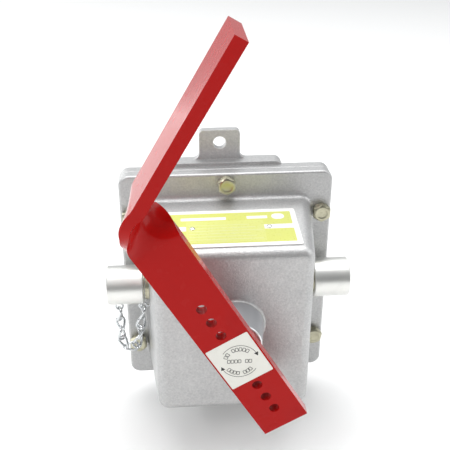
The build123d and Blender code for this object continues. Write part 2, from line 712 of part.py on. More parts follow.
def make_lever_screw():
    """Countersunk screw that holds the lever on its shaft."""
    shank = rod_y(SCREW_R, LEVER_FRONT + SCREW_HEAD_H, LEVER_FRONT + SCREW_L, 0, SHAFT_Z)
    socket = rod_y(SCREW_SOCKET_R, LEVER_FRONT - OVER, LEVER_FRONT + SCREW_SOCKET_D, 0, SHAFT_Z)
    return countersink(0) + shank - socket


# ---- shaft group ------------------------------------------------------------------------------
def make_shaft():
    """Stepped shaft with tenon, keyways, ring groove and tapped front end."""
    shaft = rod_y(SHAFT_R, LEVER_BACK, CAM_BACK_Y, 0, SHAFT_Z)
    shaft += rod_y(TENON_R, LEVER_BACK - TENON_L + SEAT, LEVER_BACK, 0, SHAFT_Z)
    shaft += rod_y(JOURNAL_R, CAM_BACK_Y, JOURNAL_END_Y, 0, SHAFT_Z)
    shaft -= rod_y(SCREW_R + SEAT, LEVER_BACK - TENON_L - OVER, LEVER_FRONT + SCREW_L + SEAT, 0, SHAFT_Z)
    shaft -= key_block(SEAT)
    shaft -= cam_key_block(SEAT)
    groove = rod_y(SHAFT_R + OVER, circlip_y(), circlip_y() + CIRCLIP_T, 0, SHAFT_Z)
    groove -= rod_y(SHAFT_R - CIRCLIP_GROOVE, circlip_y() - OVER, circlip_y() + CIRCLIP_T + OVER, 0, SHAFT_Z)
    return shaft - groove


def circlip_y():
    """Front face of the ring that stops the shaft against its bush."""
    return BUSH_BACK + AIR


def make_circlip():
    """Open retaining ring."""
    front, back = circlip_y(), circlip_y() + CIRCLIP_T
    ring = rod_y(CIRCLIP_R, front + SEAT, back - SEAT, 0, SHAFT_Z)
    ring -= rod_y(SHAFT_R - CIRCLIP_GROOVE + SEAT, front - OVER, back + OVER, 0, SHAFT_Z)
    half = SHAFT_R * CIRCLIP_MOUTH
    opening = block(-half, half, front - OVER, back + OVER, SHAFT_Z - CIRCLIP_R - OVER, SHAFT_Z)
    return turned(ring - opening)


def cam_key_block(gap):
    """Key between shaft and cam."""
    key = block(-KEY_W / 2 - gap, KEY_W / 2 + gap, CAM_FRONT_Y + KEY_END, CAM_BACK_Y - KEY_END,
                SHAFT_Z + SHAFT_R - KEY_W / 2 - gap, SHAFT_Z + SHAFT_R + KEY_W / 2 + gap)
    return turned(key)


def make_cam():
    """Round cam with two dips that face the plungers when the lever rests."""
    cam = rod_y(CAM_R, CAM_FRONT_Y, CAM_BACK_Y, 0, SHAFT_Z)
    cam = chamfer(cam.edges().filter_by(GeomType.CIRCLE), CAM_EDGE)
    cam -= rod_y(SHAFT_R + SEAT, CAM_FRONT_Y - OVER, CAM_BACK_Y + OVER, 0, SHAFT_Z)
    for side in (-1, 1):
        x = side * (CAM_R + DIP_R - DIP_DEPTH)
        cam -= rod_y(DIP_R, CAM_FRONT_Y - OVER, CAM_BACK_Y + OVER, x, SHAFT_Z)
    cam -= cam_key_block(SEAT)
    cam -= set_screw_rod(SET_SCREW_R + SEAT, CAM_R + OVER)
    return cam - stop_pin_rod(STOP_PIN_R + SEAT, CAM_BACK_Y - CAM_T / 2 - SEAT)


def set_screw_rod(radius, reach):
    """Radial rod under the shaft, before the lever is turned."""
    middle = (CAM_FRONT_Y + CAM_BACK_Y) / 2
    return turned(rod_z(radius, SHAFT_Z - reach, SHAFT_Z - SHAFT_R - SEAT, 0, middle))


def make_set_screw():
    """Headless screw with a hexagon socket."""
    screw = set_screw_rod(SET_SCREW_R, CAM_R - SET_SCREW_SINK)
    middle = (CAM_FRONT_Y + CAM_BACK_Y) / 2
    plane = Plane(origin=(0, middle, SHAFT_Z - CAM_R), x_dir=(1, 0, 0), z_dir=(0, 0, 1))
    socket = extrude(plane * RegularPolygon(SET_SOCKET_AF / 2, 6, major_radius=False), amount=SET_SOCKET_D)
    return screw - turned(socket)


def stop_pin_rod(radius, y_front):
    """Rod beside the shaft that reaches into the slot of the bracket."""
    return rod_y(radius, y_front, PLATE_Y + PLATE_T, 0, SHAFT_Z + STOP_PIN_RADIUS)


def make_stop_pin():
    """Stop pin in the back of the cam."""
    return stop_pin_rod(STOP_PIN_R, CAM_BACK_Y - CAM_T / 2)


def make_thrust_washer():
    """Plain ring between the turning cam and the spring, inside the path of the stop pin."""
    front = CAM_BACK_Y + AIR
    ring = rod_y(STOP_PIN_RADIUS - STOP_PIN_R - AIR, front, front + THRUST_T, 0, SHAFT_Z)
    return ring - rod_y(JOURNAL_R + RUN, front - OVER, front + THRUST_T + OVER, 0, SHAFT_Z)


def make_push_spring():
    """Coil spring between thrust washer and rear bush."""
    y0 = CAM_BACK_Y + AIR + THRUST_T + SPRING_WIRE / 2 + SEAT
    y1 = PLATE_Y - REAR_FLANGE_T - SPRING_WIRE / 2 - SEAT
    height = y1 - y0
    path = Helix(height / SPRING_TURNS, height, SPRING_MEAN_R)
    section = Plane(origin=path @ 0, z_dir=path % 0) * Circle(SPRING_WIRE / 2)
    coil = sweep(section, path=path, is_frenet=True)
    return Pos(0, y0, SHAFT_Z) * Rot(-90, 0, 0) * coil


def make_shaft_bush():
    """Bronze bush in the boss."""
    bush = rod_y(BUSH_R - SEAT, BUSH_FRONT, BUSH_BACK, 0, SHAFT_Z)
    return bush - rod_y(SHAFT_R + RUN, BUSH_FRONT - OVER, BUSH_BACK + OVER, 0, SHAFT_Z)


def make_shaft_seal():
    """Rubber seal in front of the bush, dished round the shaft."""
    seal = rod_y(SEAL_R - SEAT, RIM_Y + SEAL_RECESS, BUSH_FRONT, 0, SHAFT_Z)
    dish = Cone(SHAFT_R + SEAL_LIP, SEAL_R - SEAL_BORDER, SEAL_DISH)
    dish = Pos(0, RIM_Y + SEAL_RECESS + SEAL_DISH / 2, SHAFT_Z) * Rot(90, 0, 0) * dish
    return seal - dish - rod_y(SHAFT_R + AIR, RIM_Y - OVER, BUSH_FRONT + OVER, 0, SHAFT_Z)


# ---- bracket ----------------------------------------------------------------------------------
def foot_screw_places():
    """Four screws that hold the bracket's feet."""
    half = PLATE_W / 2 - FOOT_L / 2 - PLATE_T / 2
    return [(BRACKET_X + sx * half, SHAFT_Z + sz * FOOT_SCREW_Z) for sx in (-1, 1) for sz in (-1, 1)]


def foot_screw_tip():
    """Depth of the screws in the pad's floor."""
    return -PAD_FLOOR - PLATE_T + M4_L


def switch_screw_places():
    """Two screws through each switch."""
    middle = SWITCH_X + SWITCH_HOLE_X
    return [(sx * middle, SHAFT_Z + sz * SWITCH_HOLE_Z) for sx in (-1, 1) for sz in (-1, 1)]


def switch_back():
    """Rear face of the switches, centred on the cam."""
    return (CAM_FRONT_Y + CAM_BACK_Y) / 2 + SWITCH_T / 2


def make_bracket():
    """Folded steel bracket with an arc slot, rear bush hole and four switch posts."""
    x0, x1 = BRACKET_X - PLATE_W / 2, BRACKET_X + PLATE_W / 2
    z0, z1 = SHAFT_Z - PLATE_H / 2, SHAFT_Z + PLATE_H / 2
    bracket = block(x0, x1, PLATE_Y, PLATE_Y + PLATE_T, z0, z1)
    for edge, sign in ((x0, 1), (x1, -1)):
        bracket += block(edge, edge + sign * PLATE_T, PLATE_Y, -PAD_FLOOR, z0, z1)
        bracket += block(edge, edge + sign * FOOT_L, -PAD_FLOOR - PLATE_T, -PAD_FLOOR, z0, z1)
    for x, z in switch_screw_places():
        bracket += rod_y(POST_R, PLATE_Y + PLATE_T / 2, switch_back(), x, z)
        tapped_to = switch_back() + SWITCH_SCREW_IN + OVER
        bracket -= rod_y(SWITCH_HOLE_R - TAP_CUT, switch_back() - OVER, tapped_to, x, z)
    for x, z in foot_screw_places():
        bracket -= rod_y(M4_R + M4_PLAY, -PAD_FLOOR - PLATE_T - OVER, -PAD_FLOOR + OVER, x, z)
    bracket -= rod_y(REAR_BUSH_R, PLATE_Y - OVER, PLATE_Y + PLATE_T + OVER, 0, SHAFT_Z)
    return bracket - stop_slot()


def stop_slot():
    """Arc slot that the stop pin runs in."""
    half_w = STOP_PIN_R + STOP_GAP
    ring = rod_y(STOP_PIN_RADIUS + half_w, PLATE_Y - OVER, PLATE_Y + PLATE_T + OVER, 0, SHAFT_Z)
    ring -= rod_y(STOP_PIN_RADIUS - half_w, PLATE_Y - 2, PLATE_Y + PLATE_T + 2, 0, SHAFT_Z)
    reach = 2 * STOP_PIN_RADIUS
    half = math.radians(SWING)
    wedge = Polyline((0, 0), (reach * math.sin(half), reach * math.cos(half)), (0, 2 * reach),
                     (-reach * math.sin(half), reach * math.cos(half)), close=True)
    wedge = extrude(front_plane(PLATE_Y + PLATE_T + OVER, 0, SHAFT_Z) * make_face(wedge), amount=PLATE_T + 2)
    slot = ring & wedge
    for sign in (-1, 1):
        x = sign * STOP_PIN_RADIUS * math.sin(half)
        z = SHAFT_Z + STOP_PIN_RADIUS * math.cos(half)
        slot += rod_y(half_w, PLATE_Y - OVER, PLATE_Y + PLATE_T + OVER, x, z)
    return slot


def make_rear_bush():
    """Flanged bush in the bracket."""
    bush = rod_y(REAR_BUSH_R - SEAT, PLATE_Y, PLATE_Y + REAR_BUSH_L, 0, SHAFT_Z)
    bush += rod_y(REAR_FLANGE_R, PLATE_Y - REAR_FLANGE_T, PLATE_Y, 0, SHAFT_Z)
    bush -= rod_y(JOURNAL_R + RUN, PLATE_Y - REAR_FLANGE_T - OVER, PLATE_Y + REAR_BUSH_L + OVER, 0, SHAFT_Z)
    return bush


def make_pan_screws(places, head_back, tip, radius, head_r, head_h):
    """Round-headed screws along Y with a straight slot."""
    screws = []
    for x, z in places:
        head = rod_y(head_r, head_back, head_back - head_h, x, z)
        head = fillet(head.edges().group_by(Axis.Y)[0], head_h * HEAD_ROUND)
        floor_y = head_back - head_h * (1 - SLOT_DEPTH)
        slot_z = (z - SLOT_HALF, z + SLOT_HALF)
        head -= block(x - head_r, x + head_r, head_back - head_h - OVER, floor_y, *slot_z)
        screws.append(head + rod_y(radius, head_back, tip, x, z))
    return Compound(children=screws)


def make_switch(side):
    """Snap switch body with two screw holes and a plunger bore."""
    x0, x1 = side * SWITCH_X, side * (SWITCH_X + SWITCH_D)
    back = switch_back()
    body = block(x0, x1, back - SWITCH_T, back, SHAFT_Z - SWITCH_L / 2, SHAFT_Z + SWITCH_L / 2)
    body = fillet(body.edges().filter_by(Axis.Y), SWITCH_EDGE)
    for x, z in switch_screw_places():
        body -= rod_y(SWITCH_HOLE_R + SEAT, back - SWITCH_T - OVER, back + OVER, x, z)
    bore_end = side * (SWITCH_X + PLUNGER_IN + PLUNGER_TRAVEL + AIR)
    return body - rod_x(PLUNGER_R + RUN, side * (SWITCH_X - OVER), bore_end, back - SWITCH_T / 2, SHAFT_Z)


def make_plunger(side):
    """Plunger between the cam and its switch."""
    back = switch_back()
    tip = CAM_R + AIR
    rod = rod_x(PLUNGER_R, side * tip, side * (SWITCH_X + PLUNGER_IN), back - SWITCH_T / 2, SHAFT_Z)
    tip_edges = rod.edges().sort_by(Axis.X)[0 if side > 0 else -1]
    return fillet(tip_edges, PLUNGER_ROUND)


def make_terminals():
    """Three flat terminals behind each switch."""
    middle = switch_back() - SWITCH_T / 2
    outer = SWITCH_X + SWITCH_D
    blades = []
    for side in (-1, 1):
        for row in (-1, 0, 1):
            z = SHAFT_Z + row * TERMINAL_PITCH
            blades.append(block(side * outer, side * (outer + TERMINAL_L), middle - TERMINAL_W / 2,
                                middle + TERMINAL_W / 2, z - TERMINAL_T / 2, z + TERMINAL_T / 2))
    return Compound(children=blades)


# ---- build ------------------------------------------------------------------------------------
def main():
    """Build every node."""
    save(make_base(), "base_casting")
    save(make_cover(), "cover_casting")
    save(make_cover_bolts(), "cover_bolts")
    save(make_cover_washers(), "cover_lock_washers")
    save(make_o_ring(), "flange_o_ring")
    save(make_nameplate(), "nameplate")
    save(make_rivets(), "nameplate_rivets")
    save(make_nipple(-1), "hub_nipple_left")
    save(make_nipple(1), "hub_nipple_right")
    save(make_locknut(-1), "hub_locknut_left")
    save(make_locknut(1), "hub_locknut_right")
    save(make_cap(), "conduit_cap")
    save(make_coupling(), "conduit_coupling")
    save(make_cap_eye(), "cap_eye_screw")
    save(make_cover_eye(), "cover_eye_screw")
    save(make_chain(), "retaining_chain")
    save(make_lever(), "lever_bar")
    save(make_label(), "reset_label")
    save(make_lever_screw(), "lever_screw")
    save(key_block(0), "lever_key")
    save(make_shaft(), "drive_shaft")
    save(make_circlip(), "retaining_ring")
    save(make_cam(), "operating_cam")
    save(cam_key_block(0), "cam_key")
    save(make_set_screw(), "cam_set_screw")
    save(make_stop_pin(), "stop_pin")
    save(make_thrust_washer(), "thrust_washer")
    save(make_push_spring(), "push_spring")
    save(make_shaft_bush(), "shaft_bush")
    save(make_shaft_seal(), "shaft_seal")
    save(make_bracket(), "mechanism_bracket")
    save(make_rear_bush(), "rear_bush")
    foot_back = -PAD_FLOOR - PLATE_T
    save(make_pan_screws(foot_screw_places(), foot_back, foot_screw_tip(), M4_R, M4_HEAD_R, M4_HEAD_H),
         "bracket_screws")
    save(make_pan_screws(switch_screw_places(), switch_back() - SWITCH_T, switch_back() + SWITCH_SCREW_IN,
                         SWITCH_SCREW_R, SWITCH_SCREW_HEAD_R, SWITCH_SCREW_HEAD_H), "switch_screws")
    save(make_pan_screws([(GROUND_X, GROUND_Z)], -PAD_FLOOR - GROUND_GAP, foot_screw_tip(), GROUND_R,
                         GROUND_HEAD_R, GROUND_HEAD_H), "ground_screw")
    for side, letter in ((-1, "a"), (1, "b")):
        save(make_switch(side), "snap_switch_" + letter)
        save(make_plunger(side), "switch_plunger_" + letter)
    save(make_terminals(), "switch_terminals")


main()
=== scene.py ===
"""Looks of a lever-operated safety stop switch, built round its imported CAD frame."""

import json
import logging
import math
import random
from collections.abc import Callable
from dataclasses import dataclass
from enum import Enum

import bmesh
import bpy
from mathutils import Matrix, Vector


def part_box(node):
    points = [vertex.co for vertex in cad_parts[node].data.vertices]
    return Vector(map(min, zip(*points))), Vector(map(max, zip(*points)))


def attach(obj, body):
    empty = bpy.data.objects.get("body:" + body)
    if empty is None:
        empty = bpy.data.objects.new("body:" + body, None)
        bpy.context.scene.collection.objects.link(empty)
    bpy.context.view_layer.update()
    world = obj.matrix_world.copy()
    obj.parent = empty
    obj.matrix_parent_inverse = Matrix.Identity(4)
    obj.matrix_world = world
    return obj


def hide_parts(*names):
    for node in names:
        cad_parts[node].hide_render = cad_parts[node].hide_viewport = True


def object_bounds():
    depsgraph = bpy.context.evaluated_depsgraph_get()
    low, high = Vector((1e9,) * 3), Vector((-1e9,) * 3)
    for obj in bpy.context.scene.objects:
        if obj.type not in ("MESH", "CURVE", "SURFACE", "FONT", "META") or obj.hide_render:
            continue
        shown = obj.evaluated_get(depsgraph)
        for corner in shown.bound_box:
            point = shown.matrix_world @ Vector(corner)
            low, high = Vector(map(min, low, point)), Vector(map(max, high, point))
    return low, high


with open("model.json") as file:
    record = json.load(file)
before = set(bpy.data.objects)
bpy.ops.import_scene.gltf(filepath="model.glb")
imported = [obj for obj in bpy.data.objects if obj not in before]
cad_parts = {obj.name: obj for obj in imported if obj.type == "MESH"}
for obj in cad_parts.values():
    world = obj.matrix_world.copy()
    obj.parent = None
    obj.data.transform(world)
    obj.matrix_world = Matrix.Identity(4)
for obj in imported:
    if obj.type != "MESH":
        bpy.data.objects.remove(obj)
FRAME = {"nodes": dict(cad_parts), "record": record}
CAD_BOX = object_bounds()

LOG = logging.getLogger("stop_switch")
MM = 0.001
RECORD = FRAME["record"]


class Body(Enum):
    """The rigid bodies that pieces ride on."""

    HOUSING = "housing"
    LEVER = "lever"
    CHAIN = "chain"


# ---- node helpers -----------------------------------------------------------------------------
class Sketch:
    """A node tree with short ways to add and join nodes."""

    def __init__(self, tree: bpy.types.NodeTree) -> None:
        """Keep the tree to draw in.

        Args:
            tree: shader or geometry tree.
        """
        self.tree = tree

    def add(self, kind: str, inputs: dict | None = None, **settings: object) -> bpy.types.Node:
        """Add a node.

        Args:
            kind: the node's type name.
            inputs: values or sockets for its inputs, by name or number.
            settings: the node's own properties.

        Returns:
            The new node.
        """
        node = self.tree.nodes.new(kind)
        for key, value in settings.items():
            setattr(node, key, value)
        self.feed(node, inputs or {})
        return node

    def feed(self, node: bpy.types.Node, inputs: dict) -> None:
        """Set a node's inputs to values or sockets, by name or number."""
        for key, value in inputs.items():
            if isinstance(value, bpy.types.NodeSocket):
                self.tree.links.new(value, node.inputs[key])
            else:
                node.inputs[key].default_value = value

    def math(self, operation: str, *values: object) -> bpy.types.NodeSocket:
        """Join numbers with a Math node and return its result."""
        node = self.add("ShaderNodeMath", dict(enumerate(values)), operation=operation)
        return node.outputs[0]

    def blend(self, share: object, first: object, second: object) -> bpy.types.NodeSocket:
        """Blend two colours by share and return the result."""
        node = self.add("ShaderNodeMix", {0: share, 6: first, 7: second}, data_type="RGBA")
        return node.outputs[2]

    def span(self, value: object, low: float, high: float) -> bpy.types.NodeSocket:
        """Map a value from 0..1 to low..high."""
        node = self.add("ShaderNodeMapRange", {"Value": value, "To Min": low, "To Max": high})
        return node.outputs[0]

    def noise(self, where: object, scale: float, detail: float = 4.0) -> bpy.types.NodeSocket:
        """Noise value at a place."""
        node = self.add("ShaderNodeTexNoise", {"Vector": where, "Scale": scale, "Detail": detail})
        return node.outputs[0]


def new_group(name: str, kind: str, inputs: dict, outputs: dict) -> bpy.types.NodeTree:
    """Make a node group with its sockets.

    Args:
        name: the group's name.
        kind: tree type.
        inputs: socket type, or (type, default), by name.
        outputs: socket type by name.

    Returns:
        The empty group with its input and output nodes.
    """
    tree = bpy.data.node_groups.new(name, kind)
    for title, kind_or_pair in inputs.items():
        pair = kind_or_pair if isinstance(kind_or_pair, tuple) else (kind_or_pair, None)
        socket = tree.interface.new_socket(title, in_out="INPUT", socket_type=pair[0])
        if pair[1] is not None:
            socket.default_value = pair[1]
    for title, socket_kind in outputs.items():
        tree.interface.new_socket(title, in_out="OUTPUT", socket_type=socket_kind)
    tree.nodes.new("NodeGroupInput")
    tree.nodes.new("NodeGroupOutput")
    return tree


class Effects:
    """Shader groups that several finishes share."""

    def __init__(self) -> None:
        """Build every group once."""
        self.grain = self._grain()
        self.tarnish = self._tarnish()
        self.turning = self._turning()

    def _grain(self) -> bpy.types.NodeTree:
        """Sand-cast skin: fine grit, small pits and slow lumps."""
        tree = new_group("cast_grain", "ShaderNodeTree",
                         {"Vector": "NodeSocketVector", "Grit": ("NodeSocketFloat", 620.0),
                          "Lumps": ("NodeSocketFloat", 60.0)},
                         {"Height": "NodeSocketFloat", "Mottle": "NodeSocketFloat"})
        sketch = Sketch(tree)
        source = tree.nodes["Group Input"].outputs
        grit = sketch.add("ShaderNodeTexNoise", {"Vector": source["Vector"], "Scale": source["Grit"],
                                                 "Detail": 5.0, "Roughness": 0.62})
        pits = sketch.add("ShaderNodeTexVoronoi", {"Vector": source["Vector"], "Scale": source["Grit"]})
        lumps = sketch.add("ShaderNodeTexNoise", {"Vector": source["Vector"], "Scale": source["Lumps"],
                                                  "Detail": 3.0})
        rough = sketch.math("MULTIPLY_ADD", pits.outputs[0], 0.35, grit.outputs[0])
        height = sketch.math("MULTIPLY_ADD", lumps.outputs[0], 0.9, rough)
        slow = sketch.math("MULTIPLY", lumps.outputs[0], 0.2)
        mottle = sketch.math("MULTIPLY_ADD", grit.outputs[0], 0.8, slow)
        sketch.feed(tree.nodes["Group Output"], {"Height": height, "Mottle": mottle})
        return tree

    def _tarnish(self) -> bpy.types.NodeTree:
        """Patches of handling and age, as a soft mask."""
        tree = new_group("tarnish", "ShaderNodeTree",
                         {"Vector": "NodeSocketVector", "Scale": ("NodeSocketFloat", 80.0),
                          "Cover": ("NodeSocketFloat", 0.5)},
                         {"Mask": "NodeSocketFloat"})
        sketch = Sketch(tree)
        source = tree.nodes["Group Input"].outputs
        cloud = sketch.add("ShaderNodeTexNoise", {"Vector": source["Vector"], "Scale": source["Scale"],
                                                  "Detail": 6.0, "Roughness": 0.7, "Distortion": 0.4})
        low = sketch.math("SUBTRACT", 0.72, sketch.math("MULTIPLY", source["Cover"], 0.4))
        mask = sketch.add("ShaderNodeMapRange", {"Value": cloud.outputs[0], "From Min": low,
                                                 "From Max": 0.85})
        sketch.feed(tree.nodes["Group Output"], {"Mask": mask.outputs[0]})
        return tree

    def _turning(self) -> bpy.types.NodeTree:
        """Fine tool rings across one axis."""
        tree = new_group("turning_marks", "ShaderNodeTree",
                         {"Vector": "NodeSocketVector", "Scale": ("NodeSocketFloat", 900.0)},
                         {"Height": "NodeSocketFloat"})
        sketch = Sketch(tree)
        source = tree.nodes["Group Input"].outputs
        rings = sketch.add("ShaderNodeTexWave", {"Vector": source["Vector"], "Scale": source["Scale"],
                                                 "Distortion": 0.6, "Detail": 2.0}, bands_direction="X")
        fine = sketch.add("ShaderNodeTexNoise", {"Vector": source["Vector"], "Scale": 1500.0})
        height = sketch.math("MULTIPLY_ADD", fine.outputs[0], 0.3, rings.outputs["Fac"])
        sketch.feed(tree.nodes["Group Output"], {"Height": height})
        return tree


# ---- finishes ---------------------------------------------------------------------------------
class Finish:
    """Shared start of every material."""

    def begin(self, effects: Effects) -> tuple:
        """Start a material.

        Args:
            effects: shared shader groups.

        Returns:
            The material, its sketch, its shader, the object coordinates and the tarnish mask.
        """
        material = bpy.data.materials.new(self.name)
        material.use_nodes = True
        tree = material.node_tree
        tree.nodes.clear()
        sketch = Sketch(tree)
        shader = sketch.add("ShaderNodeBsdfPrincipled")
        sketch.add("ShaderNodeOutputMaterial", {"Surface": shader.outputs[0]})
        where = sketch.add("ShaderNodeTexCoord").outputs["Object"]
        stain = sketch.add("ShaderNodeGroup", {"Vector": where, "Scale": self.patch},
                           node_tree=effects.tarnish)
        return material, sketch, shader, where, stain.outputs["Mask"]

    @staticmethod
    def bump(sketch: Sketch, shader: bpy.types.Node, height: object, strength: float, depth: float) -> None:
        """Feed a height to the shader's normal.

        Args:
            sketch: the material's sketch.
            shader: the Principled node.
            height: socket with the height.
            strength: share of the bump.
            depth: bump distance in metres.
        """
        node = sketch.add("ShaderNodeBump", {"Height": height, "Strength": strength, "Distance": depth})
        sketch.feed(shader, {"Normal": node.outputs[0]})


@dataclass(frozen=True)
class CastFinish(Finish):
    """Sand-cast aluminium with a satin skin, edges painted light as rubbed wear plus a painted highlight, and
    a turned boss with a painted highlight on its rim.
    """

    name: str = "cast_aluminium"
    light: tuple = (0.585, 0.585, 0.58, 1.0)
    dark: tuple = (0.40, 0.405, 0.41, 1.0)
    # near white: rubbed edge wear mixed with a painted edge highlight, also the painted highlight on the boss
    # rim
    rubbed_and_highlit: tuple = (0.93, 0.93, 0.93, 1.0)
    cut: tuple = (0.62, 0.635, 0.66, 1.0)
    edge: float = 1.6 * MM
    edge_wear_and_highlight: float = 2.2
    patch: float = 28.0
    patch_share: float = 0.12
    root_y: float = -114.2 * MM
    rim_y: float = -138.7 * MM

    def build(self, effects: Effects) -> bpy.types.Material:
        """Make the material from the shared effects."""
        material, sketch, shader, where, mask = self.begin(effects)
        grain = sketch.add("ShaderNodeGroup", {"Vector": where}, node_tree=effects.grain)
        flat = sketch.add("ShaderNodeNewGeometry").outputs["Normal"]
        # convex and concave edges are brightened towards near white: partly rubbed wear, partly a painted
        # highlight
        soft = sketch.add("ShaderNodeBevel", {"Radius": self.edge}, samples=4).outputs[0]
        same = sketch.add("ShaderNodeVectorMath", {0: flat, 1: soft}, operation="DOT_PRODUCT")
        worn_and_highlit = sketch.math("MULTIPLY", sketch.math("SUBTRACT", 1.0, same.outputs["Value"]), self.edge_wear_and_highlight)
        mottle = sketch.span(grain.outputs["Mottle"], -0.5, 1.8)
        skin = sketch.blend(mottle, self.dark, self.light)
        aged = sketch.blend(sketch.math("MULTIPLY", mask, self.patch_share), skin, self.dark)
        cast = sketch.blend(worn_and_highlit, aged, self.rubbed_and_highlit)
        depth = sketch.add("ShaderNodeSeparateXYZ", {0: where}).outputs["Y"]
        # the boss rim is painted near white: a machined rim with a painted highlight
        rim = sketch.math("LESS_THAN", depth, self.rim_y)
        turned = sketch.math("LESS_THAN", depth, self.root_y)
        side = sketch.blend(turned, cast, self.cut)
        colour = sketch.blend(rim, side, self.rubbed_and_highlit)
        rough = sketch.math("MULTIPLY_ADD", turned, -0.14, sketch.span(grain.outputs["Mottle"], 0.52, 0.36))
        sketch.feed(shader, {"Base Color": colour, "Roughness": rough, "Metallic": 0.8})
        grainy = sketch.math("MULTIPLY_ADD", turned, -0.85, 1.0)
        height = sketch.math("MULTIPLY", grain.outputs["Height"], grainy)
        self.bump(sketch, shader, height, 0.55, 0.45 * MM)
        return material


@dataclass(frozen=True)
class MetalFinish(Finish):
    """Plain, plated or turned metal."""

    name: str
    colour: tuple
    second: tuple
    roughness: float = 0.3
    rings: float = 0.0
    patch: float = 90.0
    bump_depth: float = 0.05 * MM

    def build(self, effects: Effects) -> bpy.types.Material:
        """Make the material from the shared effects."""
        material, sketch, shader, where, mask = self.begin(effects)
        colour = sketch.blend(mask, self.colour, self.second)
        rough = sketch.span(mask, self.roughness, self.roughness + 0.18)
        sketch.feed(shader, {"Base Color": colour, "Roughness": rough, "Metallic": 1.0})
        if self.rings:
            marks = sketch.add("ShaderNodeGroup", {"Vector": where, "Scale": self.rings},
                               node_tree=effects.turning)
            self.bump(sketch, shader, marks.outputs["Height"], 0.35, self.bump_depth)
        else:
            self.bump(sketch, shader, sketch.noise(where, 1200.0), 0.3, self.bump_depth)
        return material


@dataclass(frozen=True)
class EnamelFinish(Finish):
    """Gloss enamel with a slight orange peel."""

    name: str = "red_enamel"
    colour: tuple = (0.43, 0.0045, 0.0035, 1.0)
    deep: tuple = (0.35, 0.005, 0.006, 1.0)
    patch: float = 22.0

    def build(self, effects: Effects) -> bpy.types.Material:
        """Make the material from the shared effects."""
        material, sketch, shader, where, mask = self.begin(effects)
        colour = sketch.blend(sketch.math("MULTIPLY", mask, 0.6), self.colour, self.deep)
        rough = sketch.span(sketch.noise(where, 160.0, 5.0), 0.16, 0.34)
        sketch.feed(shader, {"Base Color": colour, "Roughness": rough, "Specular IOR Level": 0.05,
                             "Coat Weight": 1.0, "Coat IOR": 1.2, "Coat Roughness": 0.12})
        peel = sketch.math("MULTIPLY_ADD", sketch.noise(where, 120.0, 1.0), 1.0,
                           sketch.math("MULTIPLY", sketch.noise(where, 520.0, 2.0), 0.35))
        self.bump(sketch, shader, peel, 0.3, 0.07 * MM)
        return material


@dataclass(frozen=True)
class PlainFinish(Finish):
    """Print, plastic, phenolic, foil or rubber."""

    name: str
    colour: tuple
    second: tuple
    roughness: float = 0.45
    grit: float = 700.0
    patch: float = 80.0
    bump_depth: float = 0.03 * MM

    def build(self, effects: Effects) -> bpy.types.Material:
        """Make the material from the shared effects."""
        material, sketch, shader, where, mask = self.begin(effects)
        colour = sketch.blend(mask, self.colour, self.second)
        grit = sketch.noise(where, self.grit)
        rough = sketch.span(grit, self.roughness - 0.1, self.roughness + 0.1)
        sketch.feed(shader, {"Base Color": colour, "Roughness": rough})
        self.bump(sketch, shader, grit, 0.3, self.bump_depth)
        return material


class Palette:
    """Every finish of the switch, built once and found by its slot."""

    def __init__(self, effects: Effects) -> None:
        """Build the materials.

        Args:
            effects: shared shader groups.
        """
        finishes = [
            CastFinish(),
            EnamelFinish(),
            MetalFinish("machined_aluminium", (0.84, 0.84, 0.81, 1), (0.76, 0.76, 0.73, 1), 0.36, 420.0, 60.0,
                        0.01 * MM),
            MetalFinish("zinc_steel", (0.50, 0.48, 0.36, 1), (0.27, 0.26, 0.17, 1), 0.30, 0.0, 160.0),
            MetalFinish("bright_chain", (0.70, 0.72, 0.73, 1), (0.42, 0.44, 0.45, 1), 0.12),
            MetalFinish("dark_steel", (0.30, 0.30, 0.31, 1), (0.18, 0.17, 0.16, 1), 0.34),
            MetalFinish("bronze", (0.55, 0.37, 0.15, 1), (0.38, 0.24, 0.10, 1), 0.4),
            MetalFinish("spring_steel", (0.42, 0.42, 0.43, 1), (0.28, 0.27, 0.26, 1), 0.3),
            MetalFinish("brass", (0.78, 0.58, 0.22, 1), (0.60, 0.42, 0.16, 1), 0.25),
            PlainFinish("label_plate", (0.83, 0.82, 0.76, 1), (0.76, 0.75, 0.68, 1), 0.34),
            PlainFinish("ink", (0.015, 0.015, 0.015, 1), (0.04, 0.04, 0.04, 1), 0.4),
            PlainFinish("nameplate_print", (0.88, 0.88, 0.86, 1), (0.80, 0.80, 0.77, 1), 0.3),
            PlainFinish("yellow_print", (0.60, 0.63, 0.15, 1), (0.59, 0.62, 0.20, 1), 0.3),
            PlainFinish("faint_print", (0.65, 0.68, 0.30, 1), (0.65, 0.68, 0.36, 1), 0.3),
            PlainFinish("pale_print", (0.62, 0.65, 0.19, 1), (0.62, 0.65, 0.27, 1), 0.3),
            PlainFinish("black_rubber", (0.014, 0.014, 0.014, 1), (0.03, 0.03, 0.03, 1), 0.6),
            PlainFinish("black_phenolic", (0.02, 0.02, 0.02, 1), (0.05, 0.045, 0.04, 1), 0.45),
            PlainFinish("ivory_plastic", (0.80, 0.75, 0.60, 1), (0.72, 0.66, 0.50, 1), 0.35),
        ]
        self.materials = {finish.name: finish.build(effects) for finish in finishes}

    def __getitem__(self, slot: str) -> bpy.types.Material:
        """The material of a slot."""
        return self.materials[slot]


# ---- mesh helpers -----------------------------------------------------------------------------
def make_mesh(name: str, points: list, faces: list, weld: float = 1e-6) -> bpy.types.Mesh:
    """Closed mesh from points and faces, with its doubles merged and its faces turned outwards.

    Args:
        name: the mesh's name.
        points: vertex places in metres.
        faces: vertex numbers of each face.
        weld: merge distance.

    Returns:
        The mesh.
    """
    mesh = bpy.data.meshes.new(name)
    mesh.from_pydata([tuple(p) for p in points], [], faces)
    work = bmesh.new()
    work.from_mesh(mesh)
    bmesh.ops.remove_doubles(work, verts=work.verts, dist=weld)
    bmesh.ops.recalc_face_normals(work, faces=work.faces)
    work.to_mesh(mesh)
    work.free()
    return mesh


